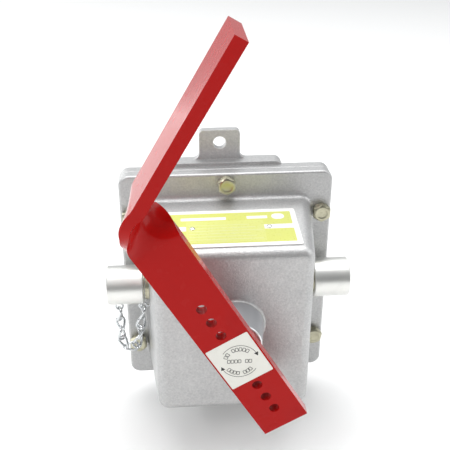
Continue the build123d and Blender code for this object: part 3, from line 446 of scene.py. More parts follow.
def smooth(mesh: bpy.types.Mesh, degrees: float = 35.0) -> bpy.types.Mesh:
    """Shade a mesh smooth up to an angle."""
    mesh.shade_smooth()
    mesh.set_sharp_from_angle(angle=math.radians(degrees))
    return mesh


def new_object(name: str, mesh: bpy.types.Mesh) -> bpy.types.Object:
    """Put a mesh in the scene."""
    thing = bpy.data.objects.new(name, mesh)
    bpy.context.scene.collection.objects.link(thing)
    return thing


def applied(thing: bpy.types.Object) -> bpy.types.Object:
    """Turn an object's modifiers into plain mesh and drop them."""
    graph = bpy.context.evaluated_depsgraph_get()
    mesh = bpy.data.meshes.new_from_object(thing.evaluated_get(graph), depsgraph=graph)
    mesh.name = thing.name
    thing.modifiers.clear()
    thing.data = mesh
    return thing


def discard(*things: bpy.types.Object) -> None:
    """Remove helper objects."""
    for thing in things:
        bpy.data.objects.remove(thing)


def dress(thing: bpy.types.Object, material: bpy.types.Material) -> None:
    """Give an object one material."""
    thing.data.materials.clear()
    thing.data.materials.append(material)


def fit_piece(thing: bpy.types.Object, body: Body, slot: str, *nodes: str) -> None:
    """Put a piece on its body's empty and hide the CAD nodes it stands in for."""
    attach(thing, body.value)
    if nodes:
        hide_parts(*nodes)
    LOG.info("%s rides on %s, %d faces", thing.name, body.value, len(thing.data.polygons))


def grid_faces(rows: int, columns: int, close_rows: bool, close_columns: bool) -> list:
    """Quads of a grid whose rows or columns may close on themselves."""
    faces = []
    for row in range(rows if close_rows else rows - 1):
        for column in range(columns if close_columns else columns - 1):
            after, beside = (row + 1) % rows, (column + 1) % columns
            faces.append((row * columns + column, row * columns + beside,
                          after * columns + beside, after * columns + column))
    return faces


def lathe(name: str, profile: Callable[[float], list], place: Matrix, steps: int = 96,
          ring: bool = True, degrees: float = 35.0) -> bpy.types.Mesh:
    """Turn a profile about the local Z axis.

    Args:
        name: the mesh's name.
        profile: gives the (radius, height) pairs of the section at an angle, in metres.
        place: where the turned shape goes.
        steps: number of divisions.
        ring: whether the section closes on itself and not on the axis.
        degrees: edges up to this angle are shaded smooth.

    Returns:
        The closed mesh.
    """
    points = []
    for step in range(steps):
        angle = 2 * math.pi * step / steps
        section = profile(angle)
        for radius, height in section:
            points.append(place @ Vector((radius * math.cos(angle), radius * math.sin(angle), height)))
    return smooth(make_mesh(name, points, grid_faces(steps, len(section), True, ring)), degrees)


def flat_shape(outline: list, thickness: float, place: Matrix) -> tuple[list, list]:
    """Points and faces of a thin plate.

    Args:
        outline: (x, y) pairs in order.
        thickness: height above the local XY plane.
        place: where the plate goes.

    Returns:
        Points and faces.
    """
    count = len(outline)
    points = [place @ Vector((x, y, z)) for z in (0.0, thickness) for x, y in outline]
    faces = [tuple(reversed(range(count))), tuple(range(count, 2 * count))]
    faces += [(i, (i + 1) % count, count + (i + 1) % count, count + i) for i in range(count)]
    return points, faces


def joined(name: str, shapes: list) -> bpy.types.Mesh:
    """One mesh from several (points, faces) pairs."""
    points: list = []
    faces: list = []
    for more_points, more_faces in shapes:
        start = len(points)
        points += more_points
        faces += [tuple(start + i for i in face) for face in more_faces]
    return make_mesh(name, points, faces, 1e-8)


def rounded(width: float, height: float, radius: float, x: float = 0.0, y: float = 0.0,
            steps: int = 6) -> list:
    """Outline of a rounded rectangle."""
    outline = []
    for corner, (sx, sy) in enumerate(((1, 1), (-1, 1), (-1, -1), (1, -1))):
        for step in range(steps + 1):
            angle = math.pi / 2 * (corner + step / steps)
            outline.append((x + sx * (width / 2 - radius) + radius * math.cos(angle),
                            y + sy * (height / 2 - radius) + radius * math.sin(angle)))
    return outline


# ---- geometry node trees ----------------------------------------------------------------------
class Trees:
    """Geometry node trees for what repeats or follows a path."""

    def __init__(self) -> None:
        """Build every tree once."""
        self.repeat = self._repeat()
        self.thread = self._thread()

    def _repeat(self) -> bpy.types.NodeTree:
        """A part on every point, turned by the point's attribute and a seeded spin."""
        tree = new_group("part_on_points", "GeometryNodeTree",
                         {"Geometry": "NodeSocketGeometry", "Part": "NodeSocketObject",
                          "Spin": "NodeSocketFloat",
                          "Seed": "NodeSocketInt", "Finish": "NodeSocketMaterial"},
                         {"Geometry": "NodeSocketGeometry"})
        sketch = Sketch(tree)
        source = tree.nodes["Group Input"].outputs
        part = sketch.add("GeometryNodeObjectInfo", {"Object": source["Part"]})
        turn = sketch.add("GeometryNodeInputNamedAttribute", {"Name": "turn"}, data_type="FLOAT_VECTOR")
        low = sketch.math("MULTIPLY", source["Spin"], -1.0)
        chance = sketch.add("FunctionNodeRandomValue", {2: low, 3: source["Spin"], "Seed": source["Seed"]})
        spin = sketch.add("ShaderNodeVectorMath", {0: (0.0, 1.0, 0.0), "Scale": chance.outputs[1]},
                          operation="SCALE")
        total = sketch.add("ShaderNodeVectorMath", {0: turn.outputs[0], 1: spin.outputs[0]})
        placed = sketch.add("GeometryNodeInstanceOnPoints",
                            {"Points": source["Geometry"], "Instance": part.outputs["Geometry"],
                             "Rotation": total.outputs[0]})
        return self._finish(sketch, placed.outputs[0], source["Finish"])

    def _thread(self) -> bpy.types.NodeTree:
        """A screw thread along X, as one closed ridge."""
        tree = new_group("screw_thread", "GeometryNodeTree",
                         {"Geometry": "NodeSocketGeometry", "Radius": "NodeSocketFloat",
                          "Length": "NodeSocketFloat", "Turns": "NodeSocketFloat",
                          "Ridge": "NodeSocketFloat", "Start": "NodeSocketVector",
                          "Finish": "NodeSocketMaterial"},
                         {"Geometry": "NodeSocketGeometry"})
        sketch = Sketch(tree)
        source = tree.nodes["Group Input"].outputs
        coil = sketch.add("GeometryNodeCurveSpiral",
                          {"Resolution": 72, "Rotations": source["Turns"], "Start Radius": source["Radius"],
                           "End Radius": source["Radius"], "Height": source["Length"]})
        ridge = sketch.add("GeometryNodeCurvePrimitiveCircle", {"Resolution": 4, "Radius": source["Ridge"]})
        swept = sketch.add("GeometryNodeCurveToMesh",
                           {"Curve": coil.outputs[0], "Profile Curve": ridge.outputs[0], "Fill Caps": True})
        moved = sketch.add("GeometryNodeTransform",
                           {"Geometry": swept.outputs[0], "Translation": source["Start"],
                            "Rotation": (0.0, math.pi / 2, 0.0)})
        return self._finish(sketch, moved.outputs[0], source["Finish"])

    @staticmethod
    def _finish(sketch: Sketch, shape: bpy.types.NodeSocket,
                finish: bpy.types.NodeSocket) -> bpy.types.NodeTree:
        """End a tree in Realize Instances and Set Material."""
        real = sketch.add("GeometryNodeRealizeInstances", {0: shape})
        done = sketch.add("GeometryNodeSetMaterial", {"Geometry": real.outputs[0], "Material": finish})
        sketch.feed(sketch.tree.nodes["Group Output"], {0: done.outputs[0]})
        return sketch.tree

    @staticmethod
    def run(name: str, start: bpy.types.Mesh, tree: bpy.types.NodeTree, values: dict) -> bpy.types.Object:
        """Run a tree on a mesh and keep the plain result.

        Args:
            name: the new piece's name.
            start: points or an empty mesh.
            tree: the tree.
            values: inputs by name.

        Returns:
            The finished object without modifiers.
        """
        thing = new_object(name, start)
        modifier = thing.modifiers.new("tree", "NODES")
        modifier.node_group = tree
        for item in tree.interface.items_tree:
            if item.item_type == "SOCKET" and item.in_out == "INPUT" and item.name in values:
                modifier[item.identifier] = values[item.name]
        return applied(thing)


    def scatter(self, name: str, part: bpy.types.Mesh, places: list, turns: list,
                finish: bpy.types.Material, seed: int, spin: float = 0.0) -> bpy.types.Object:
        """Repeat a part on places.

        Args:
            name: the new piece's name.
            part: mesh of one copy.
            places: where the copies go.
            turns: Euler turn of each copy.
            finish: the material.
            seed: seed of the spin.
            spin: largest random turn about Y, in radians.

        Returns:
            The finished object.
        """
        cloud = bpy.data.meshes.new(name)
        cloud.from_pydata([tuple(place) for place in places], [], [])
        turn = cloud.attributes.new("turn", "FLOAT_VECTOR", "POINT")
        for index, value in enumerate(turns):
            turn.data[index].vector = tuple(value)
        master = new_object(name + "_master", part)
        piece = self.run(name, cloud, self.repeat, {"Part": master, "Spin": spin, "Seed": seed,
                                                    "Finish": finish})
        discard(master)
        return piece


# ---- lever ------------------------------------------------------------------------------------
@dataclass
class LeverArm:
    """Flat bar with a quarter twist and a bend, its label and its ink marks."""

    tilt: float = math.radians(30.4)
    width: float = 38.1 * MM
    thick: float = 9.525 * MM
    tail: float = 74.5 * MM
    reach: float = 144.8 * MM
    upper: float = 140.1 * MM
    upper_dir: tuple = (0.498, -0.063, 0.864)
    bend: float = 13.5 * MM
    twist: float = math.radians(91.0)
    twist_from: float = 112.0 * MM
    twist_to: float = 154.0 * MM
    hole_radius: float = 3.97 * MM
    hole_first: float = 27.3 * MM
    hole_pitch: float = 13.75 * MM
    rounding: float = 0.75 * MM
    label_size: tuple = (35.6 * MM, 41.0 * MM)
    foil: float = 0.28 * MM
    ink: float = 0.05 * MM
    ring_radius: float = 14.4 * MM
    ring_line: float = 0.2 * MM
    letter_drop: float = 3.4 * MM
    letter_pitch: float = 2.7 * MM
    mark: tuple = (2.1 * MM, 2.9 * MM, 0.42 * MM)

    def __post_init__(self) -> None:
        """Read the shaft's place and the lever's front face from the frame."""
        joint = next(j for j in RECORD["behaviour"]["joints"] if j["name"] == "lever_turn")
        self.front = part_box("reset_label")[1][1]
        self.pivot = Vector((joint["pos_m"][0], self.front + self.thick / 2, joint["pos_m"][2]))
        self.low = Vector((-math.sin(self.tilt), 0, math.cos(self.tilt)))
        self.side = Vector((math.cos(self.tilt), 0, math.sin(self.tilt)))
        self.high = Vector(self.upper_dir).normalized()
        self.turn = self.low.angle(self.high)
        self.bend_start = self.reach - self.bend * math.tan(self.turn / 2)
        self.length = self.bend_start + self.bend * self.turn
        self.length += self.upper - self.bend * math.tan(self.turn / 2)

    def frame_at(self, run: float) -> tuple[Vector, Vector, Vector]:
        """Centre, direction and right-hand side of the bar at a length above the shaft."""
        pole = self.low.cross(self.high).normalized()
        flank = pole.cross(self.low)
        angle = min(max((run - self.bend_start) / self.bend, 0.0), self.turn)
        along = self.low * math.cos(angle) + flank * math.sin(angle)
        centre = self.pivot + self.low * min(run, self.bend_start)
        centre += (self.low * math.sin(angle) + flank * (1 - math.cos(angle))) * self.bend
        centre += self.high * max(run - self.bend_start - self.bend * self.turn, 0.0)
        share = min(max((run - self.twist_from) / (self.twist_to - self.twist_from), 0.0), 1.0)
        start = math.atan2(self.side.dot(pole), self.side.dot(flank))
        turned = start + self.twist * share * share * (3 - 2 * share)
        across = pole.cross(along) * math.cos(turned) + pole * math.sin(turned)
        return centre, along, across

    def bar_mesh(self, columns: int = 14, rings: int = 44) -> bpy.types.Mesh:
        """Sweep the bar's section along its centre line."""
        margin = 0.4 * MM
        runs = [-self.tail, self.twist_from - margin]
        runs += [self.twist_from + (self.twist_to - self.twist_from) * i / rings for i in range(rings + 1)]
        runs += [self.twist_to + margin, self.length]
        points = []
        for run in runs:
            centre, along, across = self.frame_at(run)
            normal = along.cross(across)
            for face in (1, -1):
                for column in range(columns + 1):
                    share = (column / columns - 0.5) * -face
                    points.append(centre + across * (self.width * share) + normal * (face * self.thick / 2))
        section = 2 * (columns + 1)
        faces = grid_faces(len(runs), section, False, True)
        faces.append(tuple(reversed(range(section))))
        faces.append(tuple(range((len(runs) - 1) * section, len(runs) * section)))
        return make_mesh("lever_bar_painted", points, faces)

    def holes(self) -> bpy.types.Object:
        """Cutters of the six cable holes."""
        work = bmesh.new()
        for sign in (-1, 1):
            for index in range(3):
                place = self.pivot + self.low * (sign * (self.hole_first + self.hole_pitch * index))
                turn = Matrix.Translation(place) @ Matrix.Rotation(math.pi / 2, 4, "X")
                bmesh.ops.create_cone(work, cap_ends=True, segments=56, radius1=self.hole_radius,
                                      radius2=self.hole_radius, depth=3 * self.thick, matrix=turn)
        mesh = bpy.data.meshes.new("lever_holes")
        work.to_mesh(mesh)
        work.free()
        return new_object("lever_holes", mesh)

    def build_bar(self, palette: Palette) -> None:
        """Make the painted bar with drilled holes and soft edges."""
        bar = new_object("lever_bar_painted", self.bar_mesh())
        cutter = self.holes()
        cut = bar.modifiers.new("holes", "BOOLEAN")
        cut.operation = "DIFFERENCE"
        cut.solver = "EXACT"
        cut.object = cutter
        edge = bar.modifiers.new("edges", "BEVEL")
        edge.width = self.rounding
        edge.segments = 3
        edge.angle_limit = math.radians(50)
        edge.harden_normals = True
        applied(bar)
        discard(cutter)
        smooth(bar.data, 40)
        even = bar.modifiers.new("even_shading", "WEIGHTED_NORMAL")
        even.keep_sharp = True
        applied(bar)
        dress(bar, palette["red_enamel"])
        fit_piece(bar, Body.LEVER, "red_enamel", "lever_bar")

    def face(self, across: Vector, up: Vector, lift: float) -> Matrix:
        """Plane on the bar's front, with Z towards the user."""
        origin = Vector((self.pivot.x, self.front - lift, self.pivot.z))
        return Matrix.Translation(origin) @ Matrix((across, up, Vector((0, -1, 0)))).transposed().to_4x4()

    def upright(self) -> Matrix:
        """Plane of the marks, which stand upright on the leaning label."""
        return self.face(Vector((1, 0, 0)), Vector((0, 0, 1)), self.foil)

    def arc(self, start: float, end: float, steps: int = 28) -> tuple[list, list]:
        """Thin line along the ring between two angles in degrees."""
        inner, outer = self.ring_radius - self.ring_line, self.ring_radius + self.ring_line
        angles = [math.radians(start + (end - start) * i / steps) for i in range(steps + 1)]
        outline = [(outer * math.cos(a), outer * math.sin(a)) for a in angles]
        outline += [(inner * math.cos(a), inner * math.sin(a)) for a in reversed(angles)]
        points, faces = flat_shape(outline, self.ink, self.upright())
        count = len(outline)
        faces = faces[2:]
        for base in (0, count):
            for i in range(steps):
                faces.append((base + i, base + i + 1, base + count - 2 - i, base + count - 1 - i))
        return points, faces

    def arrow(self, angle: float, size: float = 3.4 * MM) -> tuple[list, list]:
        """Arrow head on the ring, pointing clockwise."""
        turn = math.radians(angle)
        centre = Vector((math.cos(turn), math.sin(turn))) * self.ring_radius
        ahead = Vector((math.sin(turn), -math.cos(turn)))
        out = Vector((math.cos(turn), math.sin(turn)))
        tip = centre + ahead * size * 0.7
        outline = [tuple(tip), tuple(centre - ahead * size * 0.3 + out * size * 0.5),
                   tuple(centre - ahead * size * 0.3 - out * size * 0.5)]
        return flat_shape(outline, self.ink, self.upright())

    def hollow_block(self, centre: Vector, turn: float) -> list:
        """Four thin strokes round a small rectangle, which stand for one letter."""
        width, height, line = self.mark
        place = self.upright() @ Matrix.Translation((centre.x, centre.y, 0.0))
        place = place @ Matrix.Rotation(turn, 4, "Z")
        strokes = []
        for x, y, w, h in ((0, height / 2, width, line), (0, -height / 2, width, line),
                           (-width / 2, 0, line, height - line), (width / 2, 0, line, height - line)):
            strokes.append(flat_shape([(x - w / 2, y - h / 2), (x + w / 2, y - h / 2),
                                       (x + w / 2, y + h / 2), (x - w / 2, y + h / 2)], self.ink, place))
        return strokes

    def build_label(self, palette: Palette) -> None:
        """Make the foil label and its turn-and-push marks."""
        width, length = self.label_size
        outline = rounded(width, length, 1.0 * MM)
        foil = flat_shape(outline, self.foil, self.face(self.side, self.low, 0.0))
        plate = new_object("reset_label_foil", joined("reset_label_foil", [foil]))
        smooth(plate.data, 30)
        dress(plate, palette["label_plate"])
        fit_piece(plate, Body.LEVER, "label_plate", "reset_label")
        shapes = []
        for start, letters in ((28.0, (0, 1, 3, 4, 5, 6, 7)), (208.0, (0, 1, 2, 3, 5, 6, 7))):
            shapes += [self.arc(start, start + 122), self.arrow(start)]
            for index in letters:
                angle = math.radians(start + 132 - index * 14.5 if start < 90 else start + 16 + index * 13.5)
                centre = Vector((math.cos(angle), math.sin(angle))) * (self.ring_radius - self.letter_drop)
                shapes += self.hollow_block(centre, angle - math.pi / 2)
        for index in (0, 1, 2, 3, 5, 6):
            shapes += self.hollow_block(Vector(((index - 3.0) * self.letter_pitch, 0.0)), 0.0)
        marks = new_object("reset_marks", joined("reset_marks", shapes))
        dress(marks, palette["ink"])
        fit_piece(marks, Body.LEVER, "label_plate")


# ---- fasteners --------------------------------------------------------------------------------
@dataclass
class CoverFasteners:
    """Six hexagon bolts with split washers round the flange."""

    flats: float = 14.3 * MM
    head: float = 6.0 * MM
    shank: float = 3.97 * MM
    dish: float = 4.2 * MM
    chamfer_share: float = 0.86
    chamfer_degrees: float = 32.0
    washer_radius: float = 7.1 * MM
    washer: float = 1.8 * MM
    split: float = math.radians(9)
    side_z: float = 65.0 * MM
    seed: int = 7

    def __post_init__(self) -> None:
        """Find the length of the shank under the head."""
        self.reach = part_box("cover_bolts")[1][1] - (self.places()[0][1] - self.washer)

    def hex_radius(self, angle: float) -> float:
        """Distance from the axis to the hexagon's side."""
        local = (angle % (math.pi / 3)) - math.pi / 6
        return self.flats / 2 / math.cos(local)

    def head_section(self, angle: float) -> list:
        """Section of the head and shank at an angle."""
        slope = math.tan(math.radians(self.chamfer_degrees))
        corner = self.hex_radius(angle)
        start = self.flats / 2 * self.chamfer_share
        section = [(0.0, self.head - 0.2 * MM), (self.dish * 0.86, self.head - 0.5 * MM),
                   (self.dish, self.head - 0.3 * MM), (self.dish + 0.7 * MM, self.head)]
        for share in (0.1, 1.0):
            radius = start + (corner - 0.12 * MM - start) * share
            section.append((radius, self.head - (radius - start) * slope))
        section.append((corner, self.head - (corner - start) * slope - 0.15 * MM))
        section += [(corner, 0.35 * MM), (corner - 0.2 * MM, 0.1 * MM), (self.flats / 2 * 0.96, 0.1 * MM),
                    (self.flats / 2 * 0.90, 0.0), (self.shank, 0.0), (self.shank, -self.reach),
                    (0.0, -self.reach)]
        return section

    def washer_mesh(self, steps: int = 64) -> bpy.types.Mesh:
        """Split washer that stands on y = 0, with its ends slightly apart."""
        inner = self.shank + 0.15 * MM
        points = []
        for step in range(steps + 1):
            share = step / steps
            angle = self.split / 2 + (2 * math.pi - self.split) * share
            rise = 0.12 * MM * (share - 0.5)
            low, high = 0.08 * MM + rise, self.washer - 0.08 * MM + rise
            corner = 0.18 * MM
            ring = [(inner, low), (self.washer_radius - corner, low), (self.washer_radius, low + corner),
                    (self.washer_radius, high - corner), (self.washer_radius - corner, high), (inner, high)]
            for radius, height in ring:
                points.append(Vector((radius * math.cos(angle), -height, radius * math.sin(angle))))
        faces = grid_faces(steps + 1, 6, False, True)
        faces.append(tuple(range(6)))
        faces.append(tuple(range(steps * 6, steps * 6 + 6)))
        return smooth(make_mesh("split_washer", points, faces), 30)

    def places(self) -> list:
        """Bolt centres, read from the six CAD washers."""
        low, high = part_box("cover_lock_washers")
        centre = round((low[0] + high[0]) / 2 / MM) * MM
        side_x = (high[0] - low[0]) / 2 - self.washer_radius
        places = [(centre, high[1], high[2] - self.washer_radius),
                  (centre, high[1], low[2] + self.washer_radius)]
        places += [(centre + sx * side_x, high[1], sz * self.side_z) for sx in (-1, 1) for sz in (-1, 1)]
        return places

    def build(self, palette: Palette, trees: Trees) -> None:
        """Repeat one bolt and one washer on the bolt centres."""
        places = self.places()
        heads = [(x, y - self.washer, z) for x, y, z in places]
        bolt = lathe("hex_bolt", self.head_section, Matrix.Rotation(math.pi / 2, 4, "X"), 72, False, 30)
        washer = self.washer_mesh()
        turns = [(0, 0, 0)] * len(places)
        for name, part, spots, node in (("cover_bolt_set", bolt, heads, "cover_bolts"),
                                        ("cover_washer_set", washer, places, "cover_lock_washers")):
            piece = trees.scatter(name, part, spots, turns, palette["zinc_steel"], self.seed, math.pi)
            fit_piece(piece, Body.HOUSING, "zinc_steel", node)


# ---- nameplate --------------------------------------------------------------------------------
@dataclass
class Nameplate:
    """Printed plate on the sloping top, with plain blocks in place of words, and its rivets."""

    width: float = 110.0 * MM
    depth: float = 52.0 * MM
    thick: float = 0.8 * MM
    slope: float = math.atan2(9.0, 80.0)
    rivet_x: float = 31.0 * MM
    border: float = 4.4 * MM
    notch: float = 6.2 * MM
    print_lift: float = 0.04 * MM
    seed: int = 3

    def place(self, lift: float) -> Matrix:
        """Plate plane: X to the right, Y to the wall, Z out of the plate."""
        low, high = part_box("nameplate")
        middle = Vector(((low[0] + high[0]) / 2, (low[1] + high[1]) / 2, (low[2] + high[2]) / 2))
        turn = Matrix.Rotation(self.slope, 4, "X")
        return Matrix.Translation(middle) @ turn @ Matrix.Translation((0, 0, lift - self.thick / 2))

    def block(self, x0: float, x1: float, y0: float, y1: float, lift: float, radius: float = 0.8) -> tuple:
        """One printed block between two corners in millimetres."""
        outline = rounded((x1 - x0) * MM, (y1 - y0) * MM, radius * MM, (x0 + x1) / 2 * MM, (y0 + y1) / 2 * MM)
        return flat_shape(outline, self.print_lift, self.place(lift))

    def rivet_section(self, _: float) -> list:
        """Round head with a drive-pin dimple, and its pin, on z = 0."""
        head, rise, pin, low = 2.3 * MM, 1.0 * MM, 1.28 * MM, -0.02 * MM
        section = [(0.0, rise * 0.75), (0.5 * MM, rise * 0.78), (0.75 * MM, rise)]
        for angle in map(math.radians, (35, 55, 72, 84, 90)):
            section.append((head * math.sin(angle), rise * math.cos(angle)))
        return section + [(head, low), (pin, low), (pin, -4.5 * MM), (0.0, -4.5 * MM)]

    def build(self, palette: Palette, trees: Trees) -> None:
        """Make the plate, its print and its rivets."""
        outline = rounded(self.width, self.depth, 2.0 * MM)
        plate = new_object("nameplate_blank", joined("nameplate_blank",
                                                     [flat_shape(outline, self.thick, self.place(0.0))]))
        edge = plate.modifiers.new("edges", "BEVEL")
        edge.width = 0.2 * MM
        edge.segments = 2
        applied(plate)
        smooth(plate.data, 30)
        dress(plate, palette["nameplate_print"])
        fit_piece(plate, Body.HOUSING, "nameplate_print", "nameplate")
        top = self.thick
        half_w = self.width / 2 / MM - self.border / MM
        half_d = self.depth / 2 / MM - self.border / MM
        inner = self.rivet_x / MM - 4.0
        gap = self.notch / MM / 2
        fields = [self.block(-half_w, half_w, gap, half_d, top),
                  self.block(-half_w, half_w, -half_d, -gap, top),
                  self.block(-inner, inner, -gap - 1, gap + 1, top + 0.005 * MM, 0.3)]
        pale = [self.block(-36, 27, -half_d + 1.5, half_d - 11.5, top + self.print_lift, 0.5)]
        white = [self.block(-40, -3, 11.5, 15.5, top + self.print_lift, 0.6),
                 self.block(14, 31, 12.0, 16.0, top + self.print_lift, 0.6),
                 self.block(34.5, 45, 10.5, 18.5, top + self.print_lift, 3.9),
                 self.block(-44, -38, -17, -12, top + self.print_lift, 2.2)]
        lines = [self.block(-34, 25 - 5 * (row % 3), -16.5 + 4 * row, -15.7 + 4 * row,
                            top + 1.9 * self.print_lift, 0.3) for row in range(6)]
        for name, shapes, slot in (("nameplate_fields", fields, "yellow_print"),
                                   ("nameplate_panel", pale, "pale_print"),
                                   ("nameplate_lines", lines, "faint_print"),
                                   ("nameplate_blocks", white, "nameplate_print")):
            piece = new_object(name, joined(name, shapes))
            dress(piece, palette[slot])
            fit_piece(piece, Body.HOUSING, "nameplate_print")
        face = self.place(top)
        spots = [face @ Vector((sign * self.rivet_x, 0, 0)) for sign in (-1, 1)]
        rivet = lathe("drive_rivet", self.rivet_section, Matrix(), 40, False, 45)
        piece = trees.scatter("nameplate_rivet_pair", rivet, spots, [(self.slope, 0, 0)] * 2,
                              palette["bright_chain"], self.seed)
        fit_piece(piece, Body.HOUSING, "zinc_steel", "nameplate_rivets")


# ---- chain ------------------------------------------------------------------------------------
@dataclass
class RetainingChain:
    """Twisted-link chain between the cap's eye and the cover's eye."""

    wire: float = 2.3 * MM
    width: float = 9.4 * MM
    count: int = 9
    depth: float = 43.0 * MM
    joint_gap: float = 0.62
    eye_radius: float = 3.2 * MM
    eye_wire: float = 1.6 * MM
    air: float = 0.4 * MM
    strand_lean: float = math.radians(9.0)
    lean: float = math.radians(24)
    twist: float = math.radians(40)
    seed: int = 11

    def joints(self) -> list[Vector]:
        """Points where two links hook into each other."""
        low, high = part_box("cap_eye_screw")
        x_left = (low[0] + high[0]) / 2
        x_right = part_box("cover_eye_screw")[0][0] + self.eye_radius + self.eye_wire / 2
        y = (low[1] + high[1]) / 2
        bottom = low[2] + self.eye_wire / 2
        hook = self.eye_wire / 2 + self.wire / 2 + self.air
        top = bottom + hook - self.joint_gap * self.wire
        lean, width = self.strand_lean, x_right - x_left
        radius = width * math.cos(lean) - self.depth * math.sin(lean)
        radius /= 1 + math.cos(lean) - math.sin(lean)
        left = self.depth - radius
        bow = (math.pi - lean) * radius
        right = (x_right - x_left - radius * (1 + math.cos(lean))) / math.sin(lean)
        total = left + bow + right
        points = []
        for index in range(self.count + 1):
            run = total * index / self.count
            if run < left:
                points.append(Vector((x_left, y, top - run)))
            elif run > left + bow:
                rest = total - run
                points.append(Vector((x_right - rest * math.sin(lean), y, top - rest * math.cos(lean))))
            else:
                angle = (run - left) / radius
                points.append(Vector((x_left + radius * (1 - math.cos(angle)), y,
                                      top - left - radius * math.sin(angle))))
        return points

    def link_mesh(self, span: float, steps: int = 56, sides: int = 12) -> bpy.types.Mesh:
        """One twisted oval link, long axis on X, flat to Z."""
        bend = (self.width - self.wire) / 2
        straight = span / 2 - bend
        total = 4 * straight + 2 * math.pi * bend
        centres = []
        for step in range(steps):
            run = total * step / steps
            if run < 2 * straight:
                place = (straight - run, bend)
            elif run < 2 * straight + math.pi * bend:
                angle = math.pi / 2 + (run - 2 * straight) / bend
                place = (-straight + bend * math.cos(angle), bend * math.sin(angle))
            elif run < 4 * straight + math.pi * bend:
                place = (-straight + run - 2 * straight - math.pi * bend, -bend)
            else:
                angle = -math.pi / 2 + (run - 4 * straight - math.pi * bend) / bend
                place = (straight + bend * math.cos(angle), bend * math.sin(angle))
            turn = self.twist * place[0] / (span / 2)
            centres.append(Vector((place[0], place[1] * math.cos(turn), place[1] * math.sin(turn))))
        points = []
        for index, centre in enumerate(centres):
            along = (centres[(index + 1) % steps] - centres[index - 1]).normalized()
            out = Vector((0, 0, 1)).cross(along).normalized()
            up = along.cross(out)
            for side in range(sides):
                angle = 2 * math.pi * side / sides
                points.append(centre + (out * math.cos(angle) + up * math.sin(angle)) * (self.wire / 2))
        return smooth(make_mesh("chain_link", points, grid_faces(steps, sides, True, True)), 60)

    def build(self, palette: Palette, trees: Trees) -> None:
        """Hang one link between every two joints."""
        joints = self.joints()
        chance = random.Random(self.seed)
        spots, turns = [], []
        for index, (start, end) in enumerate(zip(joints[:-1], joints[1:])):
            along = (end - start).normalized()
            face = Vector((0, -1, 0)) if index % 2 else Vector((0, 1, 0)).cross(along)
            lean = self.lean if 0 < index < self.count - 1 else 0.0
            face = Matrix.Rotation(lean + chance.uniform(-0.1, 0.1), 3, along) @ face
            side = face.cross(along)
            turns.append(Matrix((along, side, face)).transposed().to_euler())
            spots.append((start + end) / 2)
        span = (joints[1] - joints[0]).length + 2 * self.joint_gap * self.wire
        piece = trees.scatter("retaining_chain_links", self.link_mesh(span), spots, turns,
                              palette["bright_chain"], self.seed)
        fit_piece(piece, Body.CHAIN, "bright_chain", "retaining_chain")


# ---- conduit entries and boss -----------------------------------------------------------------
@dataclass
class ConduitThreads:
    """Threads inside the open coupling and on both necks."""

    pitch: float = 1.81 * MM
    ridge: float = 0.55 * MM
    bore: float = 13.4 * MM
    neck: float = 13.3 * MM
    neck_start: float = 70.9 * MM

    def build(self, palette: Palette, trees: Trees) -> None:
        """Make one thread in the coupling and one on each neck."""
        low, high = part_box("conduit_coupling")
        axis_y, axis_z = (low[1] + high[1]) / 2, (low[2] + high[2]) / 2
        neck_length = low[0] - self.neck_start - 2 * self.ridge
        runs = [("coupling_thread", high[0] - 16.2 * MM, 15.4 * MM, self.bore),
                ("right_neck_thread", self.neck_start + self.ridge, neck_length, self.neck),
                ("left_neck_thread", -self.neck_start - self.ridge - neck_length, neck_length, self.neck)]
        for name, start, length, radius in runs:
            empty = bpy.data.meshes.new(name)
            piece = trees.run(name, empty, trees.thread,
                              {"Radius": radius, "Length": length, "Turns": length / self.pitch,
                               "Ridge": self.ridge, "Start": (start, axis_y, axis_z),
                               "Finish": palette["machined_aluminium"]})
            smooth(piece.data, 30)
            fit_piece(piece, Body.HOUSING, "machined_aluminium")


@dataclass
class ShaftSeal:
    """Lipped rubber seal in the boss."""

    lip: float = 0.45 * MM

    def build(self, palette: Palette) -> None:
        """Turn the seal about the shaft."""
        low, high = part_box("shaft_seal")
        centre = Vector(((low[0] + high[0]) / 2, high[1], (low[2] + high[2]) / 2))
        outer = (high[0] - low[0]) / 2
        tall = high[1] - low[1]
        shaft = (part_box("drive_shaft")[1][0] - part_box("drive_shaft")[0][0]) / 2
        bore = shaft + self.lip
        profile = [(outer, 0.0), (outer, tall - 0.3 * MM), (outer - 0.3 * MM, tall), (outer - 1.4 * MM, tall),
                   (outer - 1.9 * MM, tall - 0.8 * MM), (outer - 2.6 * MM, tall - 1.6 * MM),
                   (bore + 2.2 * MM, tall - 1.8 * MM), (bore + 1.4 * MM, tall - 1.0 * MM),
                   (bore + 0.5 * MM, tall - 0.5 * MM), (bore, tall - 0.9 * MM), (bore, 0.0)]
        place = Matrix.Translation(centre) @ Matrix.Rotation(math.pi / 2, 4, "X")
        piece = new_object("lip_seal", lathe("lip_seal", lambda _: profile, place))
        dress(piece, palette["black_rubber"])
        fit_piece(piece, Body.HOUSING, "black_rubber", "shaft_seal")


